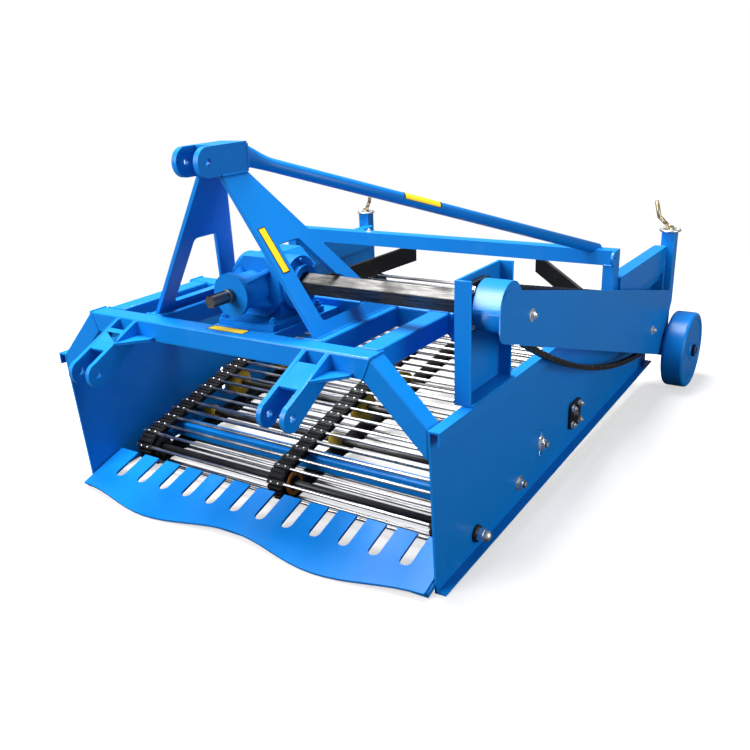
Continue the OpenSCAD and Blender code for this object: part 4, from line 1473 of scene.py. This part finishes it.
    def build_front_nuts(self) -> None:
        """Domed nuts on dark rings at the front axle's ends."""
        y, z, bore = self.front.y, self.front.z, self.axle_r - 0.5
        ring = [(bore, 0.0), (25.0, 0.0), (26.0, 2.0), (24.0, 9.0), (20.0, 10.0), (bore, 10.0), (bore, 0.0)]
        dome = [(0.0, 45.0), (8.0, 44.0), (13.5, 40.0), (16.5, 33.0), (17.0, 25.0), (0.0, 25.0)]
        nuts, rings = Shape(), Shape()
        for side in SIDES:
            seat = (side * HALF_WIDTH, y, z)
            rings.lathe(ring, seat, (side, 0, 0), 30)
            low, high = ((side * (HALF_WIDTH + end), y, z) for end in self.nut_ends)
            nuts.rod(low, high, self.nut_r, 6)
            nuts.lathe(dome, seat, (side, 0, 0), 24)
        nuts.piece("front_axle_nuts", PLATED)
        rings.piece("front_axle_rings", OILED_BLACK)


@dataclass
class ChainDrive:
    """Roller chain with a slack lower run, its two sprockets, the cross shaft and the power take-off stub."""

    pitch: float = 19.05
    plate_h: float = 17.0
    plate_t: float = 2.2
    inner_x: float = 3.6
    outer_x: float = 5.8
    roller_r: float = 5.9
    pin_r: float = 3.0
    sag: float = 100.0
    front_r: float = 48.0
    rear_r: float = 95.0
    front_bore: float = 17.6
    rear_bore: float = 20.1
    tooth_t: float = 6.0
    shaft_edge: float = 2.0
    stub_edge: float = 0.8
    chain_x: float = 712.0
    arc_steps: int = 40
    sag_steps: int = 90

    def __post_init__(self) -> None:
        """Reads the two shafts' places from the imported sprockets."""
        self.front = replace(node_wheel("front_sprocket"), r=self.front_r)
        self.rear = replace(node_wheel("rear_sprocket"), r=self.rear_r)

    def path(self) -> list[Vector]:
        """Lays the chain's closed line: the front arc, the slack run and the rear arc.

        Returns:
            The line's points, in the mid-plane.
        """
        loop = WrapLoop((self.front, self.rear), 0.0)
        shares = [i / self.arc_steps for i in range(self.arc_steps + 1)]
        front, rear = (
            [wheel.rim(start + (end - start) * t) for t in shares]
            for wheel, (start, end) in zip(loop.wheels, loop.spans)
        )
        slack = []
        for t in (i / self.sag_steps for i in range(1, self.sag_steps)):
            slack.append(front[-1].lerp(rear[0], t) - Vector((0.0, 0.0, 4 * self.sag * t * (1 - t))))
        return [*front, *slack, *rear]

    def link_frames(self) -> list[Matrix]:
        """Steps along the chain's line, in an even number of links.

        Returns:
            A frame at the middle of each link.
        """
        points = self.path()
        runs = [(b - a).length for a, b in zip(points, points[1:] + points[:1])]
        count = 2 * round(sum(runs) / self.pitch / 2)
        step = sum(runs) / count
        pins, i, walked = [], 0, 0.0
        for k in range(count):
            while walked + runs[i] < k * step:
                walked += runs[i]
                i += 1
            pins.append(points[i].lerp(points[(i + 1) % len(points)], (k * step - walked) / runs[i]))
        frames = []
        for a, b in zip(pins, pins[1:] + pins[:1]):
            along = (b - a).normalized()
            frames.append(basis(ACROSS, along, ACROSS.cross(along), (a + b) / 2 + ACROSS * self.chain_x))
        return frames

    def link(self, plate_x: float, roller: bool) -> Shape:
        """One link.

        Args:
            plate_x: distance of the plates' inner faces from the middle.
            roller: whether the link carries rollers; if not, it carries pins.

        Returns:
            The link, along +Y.
        """
        shape = Shape()
        half, high = self.pitch / 2, self.plate_h / 2
        reach, out = half + high, plate_x + self.plate_t
        for low_x in (-out, plate_x):
            seat = Matrix(((0, 0, 1, low_x), (1, 0, 0, 0), (0, 1, 0, 0), (0, 0, 0, 1)))
            shape.plate((-reach, -high, 0.0), (reach, high, self.plate_t), self.plate_h * 0.42, seat, 3)
        end, radius, segments = (plate_x, self.roller_r, 8) if roller else (out + 0.8, self.pin_r, 6)
        for y in (-half, half):
            shape.rod((-end, y, 0), (end, y, 0), radius, segments)
        return shape

    def sprocket(self, wheel: Wheel, bore: float) -> Shape:
        """A toothed disc with a hub.

        Args:
            wheel: its place, with the radius of the chain's line.
            bore: the shaft's radius.

        Returns:
            The sprocket.
        """
        teeth = round(2 * math.pi * wheel.r / self.pitch)
        shape = Shape()
        ring = bmesh.ops.create_circle(shape.bm, cap_ends=True, segments=4 * teeth, radius=1.0)["verts"]
        tip = self.roller_r * 1.25
        for vert, rise in zip(ring, (0.0, tip, tip, 0.0) * teeth):
            vert.co *= wheel.r - self.roller_r + rise
        made = bmesh.ops.extrude_face_region(shape.bm, geom=shape.bm.faces[:])["geom"]
        top = [g for g in made if isinstance(g, bmesh.types.BMVert)]
        bmesh.ops.translate(shape.bm, vec=(0, 0, self.tooth_t), verts=top)
        seat = at((self.chain_x - self.tooth_t / 2, wheel.y, wheel.z), (1, 0, 0))
        bmesh.ops.transform(shape.bm, matrix=seat, verts=shape.bm.verts[:])
        hub = spool([(bore, -13.5), (bore + 11, -13.5), (bore + 12, -12.5)])
        shape.lathe(hub, (self.chain_x - 0.5, wheel.y, wheel.z), (1, 0, 0), 24)
        return shape

    def build(self) -> None:
        """Makes the chain, the sprockets and the shafts."""
        frames = self.link_frames()
        shape = Shape()
        shape.stamp(self.link(self.inner_x, True), frames[0::2])
        shape.stamp(self.link(self.outer_x, False), frames[1::2])
        shape.piece("roller_chain", OILED_BLACK, "drive_chain")
        for name, wheel, bore in (
            ("front_sprocket", self.front, self.front_bore), ("rear_sprocket", self.rear, self.rear_bore),
        ):
            toothed = self.sprocket(wheel, bore)
            toothed.piece(f"{name}_toothed", SHAFT_STEEL, name)
        shell("cross_shaft", "cross_shaft_bar", self.shaft_edge, SHAFT_STEEL)
        shape = Shape()
        shape.softened("pto_shaft", self.stub_edge, 2)
        collar = [(17.6, 66.0), (19.5, 67.0), (19.5, 72.0), (17.6, 73.0)]
        low, high = node_box("pto_shaft")
        shape.lathe(collar, (0, low.y, (low.z + high.z) / 2), (0, 1, 0), 28)
        shape.piece("splined_stub", STUB_STEEL, "pto_shaft")


@dataclass
class Gearbox:
    """Bevel gearbox: its softened casting and the bolts of its side covers and feet."""

    bolts: Fasteners
    edge: float = 4.0
    cross: tuple[float, float] = (275.0, 706.0)
    cover_x: float = 96.0
    cover_ring: float = 65.0
    cover_count: int = 6
    foot_x: float = 88.0
    foot_y: tuple[float, float] = (145.0, 355.0)
    foot_top: float = 616.0

    def build(self) -> None:
        """Makes the gearbox's shell and adds its bolts."""
        shell("gearbox", "gearbox_casting", self.edge, BLUE_CASTING, 3)
        (y, z), r = self.cross, self.cover_ring
        for side, k in product(SIDES, range(self.cover_count)):
            a = 2 * math.pi * (k + 0.5) / self.cover_count
            place = (side * self.cover_x, y + r * math.cos(a), z + r * math.sin(a))
            self.bolts.add(COVER_BOLT, place, (side, 0, 0))
        for side, foot_y in product(SIDES, self.foot_y):
            self.bolts.add(FOOT_BOLT, (side * self.foot_x, foot_y, self.foot_top), (0, 0, 1))


@dataclass
class Guard:
    """Bolts that hold the chain guard's plate."""

    bolts: Fasteners
    places: tuple[tuple[float, float], ...] = ((400.0, 655.0), (1567.0, 295.0))
    face_x: float = 739.0

    def build(self) -> None:
        """Adds the guard's bolts."""
        for place in self.places:
            self.bolts.add(GUARD_BOLT, (self.face_x, *place), (1, 0, 0))


@dataclass
class Tail:
    """Gauge legs, wheels and cranks, and the rubber flaps."""

    bolts: Fasteners
    post_x: float = 703.0
    post_y: float = 1838.0
    sleeve_top: float = 616.0
    leg_edge: float = 1.6
    wheel_r: float = 150.0
    cap_x: float = 833.5
    crank_r: float = 7.6
    crank_bend: float = 16.0
    crank_arm: float = 62.0
    crank_turn: float = math.radians(215.0)
    crank_heights: tuple[float, float, float] = (6.0, 42.0, 118.0)
    collar_r: float = 13.0
    collar_top: float = 20.0
    flange_t: float = 8.0
    nut_ring: float = 29.0
    nut_angles: tuple[int, ...] = (20, 110, 200, 290)
    flap_t: float = 8.0
    flap_in: float = 24.0
    flap_rises: tuple[float, float] = (28.0, 66.0)

    def build(self) -> None:
        """Makes the tail's pieces and adds the flaps' bolts."""
        for side, leg, suffix in ((-1, Body.LEG_LEFT, "left"), (1, Body.LEG_RIGHT, "right")):
            node = f"gauge_leg_{suffix}"
            shell(node, f"{node}_shell", self.leg_edge, BLUE, body=leg)
            dress(BLUE, f"gauge_wheel_{suffix}")
            self.build_axle_end(side, leg, suffix)
            self.build_crank(side, suffix)
            dress(RUBBER, f"flap_{suffix}")
        low, high = node_box("flap_right")
        for rise in self.flap_rises:
            place = (high.x - self.flap_t, low.y + self.flap_in, low.z + rise)
            self.bolts.pair(FLAP_BOLT, place, (-1, 0, 0))

    def build_axle_end(self, side: int, leg: Body, suffix: str) -> None:
        """Dark nut and washer on a wheel's axle.

        Args:
            side: -1 on the left, 1 on the right.
            leg: the leg's body.
            suffix: left or right.
        """
        nut = [(0.0, 13.5), (13.0, 13.5), (14.0, 12.5), (14.0, 11.0)]
        washer = [(23.0, 11.0), (24.0, 10.0), (24.0, 0.4), (0.0, 0.4)]
        shape = Shape()
        shape.lathe([*nut, *washer], (side * self.cap_x, self.post_y, self.wheel_r), (side, 0, 0), 24)
        shape.piece(f"axle_cap_{suffix}", OILED_BLACK, body=leg)

    def build_crank(self, side: int, suffix: str) -> None:
        """Bent crank on a bolted flange.

        Args:
            side: -1 on the left, 1 on the right.
            suffix: left or right.
        """
        arm = Vector((math.cos(self.crank_turn) * side, math.sin(self.crank_turn), 0.0)) * self.crank_arm
        foot = Vector((side * self.post_x, self.post_y, self.sleeve_top))
        up = Vector((0.0, 0.0, 1.0))
        low, bend, top = (foot + up * height for height in self.crank_heights)
        shape = Shape()
        shape.sweep(bent([low, bend, bend + arm, top + arm], self.crank_bend), self.crank_r, 14)
        shape.rod(foot + up * self.flange_t, foot + up * self.collar_top, self.collar_r, 6)
        shape.piece(f"crank_{suffix}_rod", BRASSY_ZINC, f"crank_{suffix}")
        flange, t, r = Shape(), self.flange_t, self.nut_ring
        disc = [(0.0, t), (38.0, t), (40.0, t - 1.5), (40.0, 1.5), (38.0, 0.0), (0.0, 0.0)]
        flange.lathe(disc, foot, up, 36)
        turns = [math.radians(a) for a in self.nut_angles]
        nuts = [at(foot + Vector((r * math.cos(a), r * math.sin(a), t))) for a in turns]
        flange.stamp(CRANK_NUT.pattern(), nuts)
        flange.piece(f"crank_{suffix}_flange", PLATED)


# Studio


@dataclass(frozen=True)
class SoftBox:
    """A square area light: place, target and size in metres, power in watts."""

    name: str
    place: Point
    target: Point
    size: float
    power: float

    def build(self, scene: bpy.types.Scene) -> None:
        """Adds the light to a scene.

        Args:
            scene: the scene.
        """
        data = bpy.data.lights.new(self.name, "AREA")
        data.shape = "SQUARE"
        data.size = self.size
        data.energy = self.power
        light = bpy.data.objects.new(self.name, data)
        aim = Vector(self.target) - Vector(self.place)
        turn = aim.to_track_quat("-Z", "Y").to_matrix().to_4x4()
        light.matrix_world = Matrix.Translation(Vector(self.place)) @ turn
        scene.collection.objects.link(light)


@dataclass
class Studio:
    """Pale floor, soft light and the camera of the photograph."""

    scene: bpy.types.Scene
    eye: Point = (1569.28, -1619.60, 1274.74)
    azimuth: float = math.radians(35.3904)
    elevation: float = math.radians(21.899)
    roll: float = math.radians(-2.9535)
    lens: float = 41.196
    sensor: float = 36.0
    shift: tuple[float, float] = (0.0405, 0.0465)
    ambient: Colour = (0.21, 0.22, 0.24)
    backdrop: Colour = (1.0, 1.0, 1.0)
    lights: tuple[SoftBox, ...] = (
        SoftBox("key", (-1.6, -4.0, 2.6), (0.0, -0.4, 0.4), 2.6, 235.0),
        SoftBox("top", (-0.7, 0.1, 4.4), (-0.3, 0.1, 0.0), 2.4, 470.0),
        SoftBox("fill", (4.4, -0.3, 1.2), (0.3, 0.0, 0.4), 2.2, 84.0),
    )
    floor_half: float = 60.0

    def build(self) -> None:
        """Makes the camera, world, lights and floor."""
        self.scene.view_settings.view_transform = "Standard"
        self.build_camera()
        self.build_world()
        for light in self.lights:
            light.build(self.scene)
        self.build_floor()

    def build_camera(self) -> None:
        """Camera at the photograph's view."""
        data = bpy.data.cameras.new("camera")
        data.sensor_fit = "HORIZONTAL"
        data.sensor_width = self.sensor
        data.lens = self.lens
        data.shift_x, data.shift_y = self.shift
        data.clip_end = 100.0
        camera = bpy.data.objects.new("camera", data)
        az, el, roll = self.azimuth, self.elevation, self.roll
        right = Vector((math.cos(az), math.sin(az), 0.0))
        back = Vector((math.sin(az) * math.cos(el), -math.cos(az) * math.cos(el), math.sin(el)))
        up = back.cross(right)
        across = right * math.cos(roll) + up * math.sin(roll)
        upward = up * math.cos(roll) - right * math.sin(roll)
        camera.matrix_world = basis(across, upward, back, TO_FRAME @ Vector(self.eye))
        self.scene.collection.objects.link(camera)
        self.scene.camera = camera

    def build_world(self) -> None:
        """World that the camera sees white and the part sees dim."""
        world = bpy.data.worlds.new("studio")
        graph = Graph(world)
        seen = graph.node("ShaderNodeLightPath").outputs["Is Camera Ray"]
        tint = graph.mix(seen, self.ambient, self.backdrop)
        background = graph.node("ShaderNodeBackground", {}, {"Color": tint, "Strength": 1.0})
        graph.node("ShaderNodeOutputWorld", {}, {"Surface": background.outputs[0]})
        self.scene.world = world

    def build_floor(self) -> None:
        """Floor far past the camera's view."""
        bm = bmesh.new()
        bmesh.ops.create_grid(bm, x_segments=1, y_segments=1, size=self.floor_half)
        mesh = bpy.data.meshes.new("floor")
        bm.to_mesh(mesh)
        bm.free()
        mesh.materials.append(PALE_FLOOR.material())
        floor = bpy.data.objects.new("floor", mesh)
        self.scene.collection.objects.link(floor)


def main() -> None:
    """Builds the studio and each sub-assembly in order, then the beads and bolts that they collected."""
    logging.basicConfig(level=logging.INFO, format="%(name)s: %(message)s")
    welds = Welds()
    bolts = Fasteners("bolts", PLATED)
    painted = Fasteners("gearbox_bolts", BLUE_CASTING)
    for assembly in (
        Studio(bpy.context.scene), WeldedFrame(welds, bolts), TopStay(welds), Labels(), RodWeb(bolts),
        ChainDrive(), Bearings(bolts), Gearbox(painted), Guard(bolts), Tail(bolts), welds, bolts, painted,
    ):
        assembly.build()


if __name__ == "__main__":
    main()
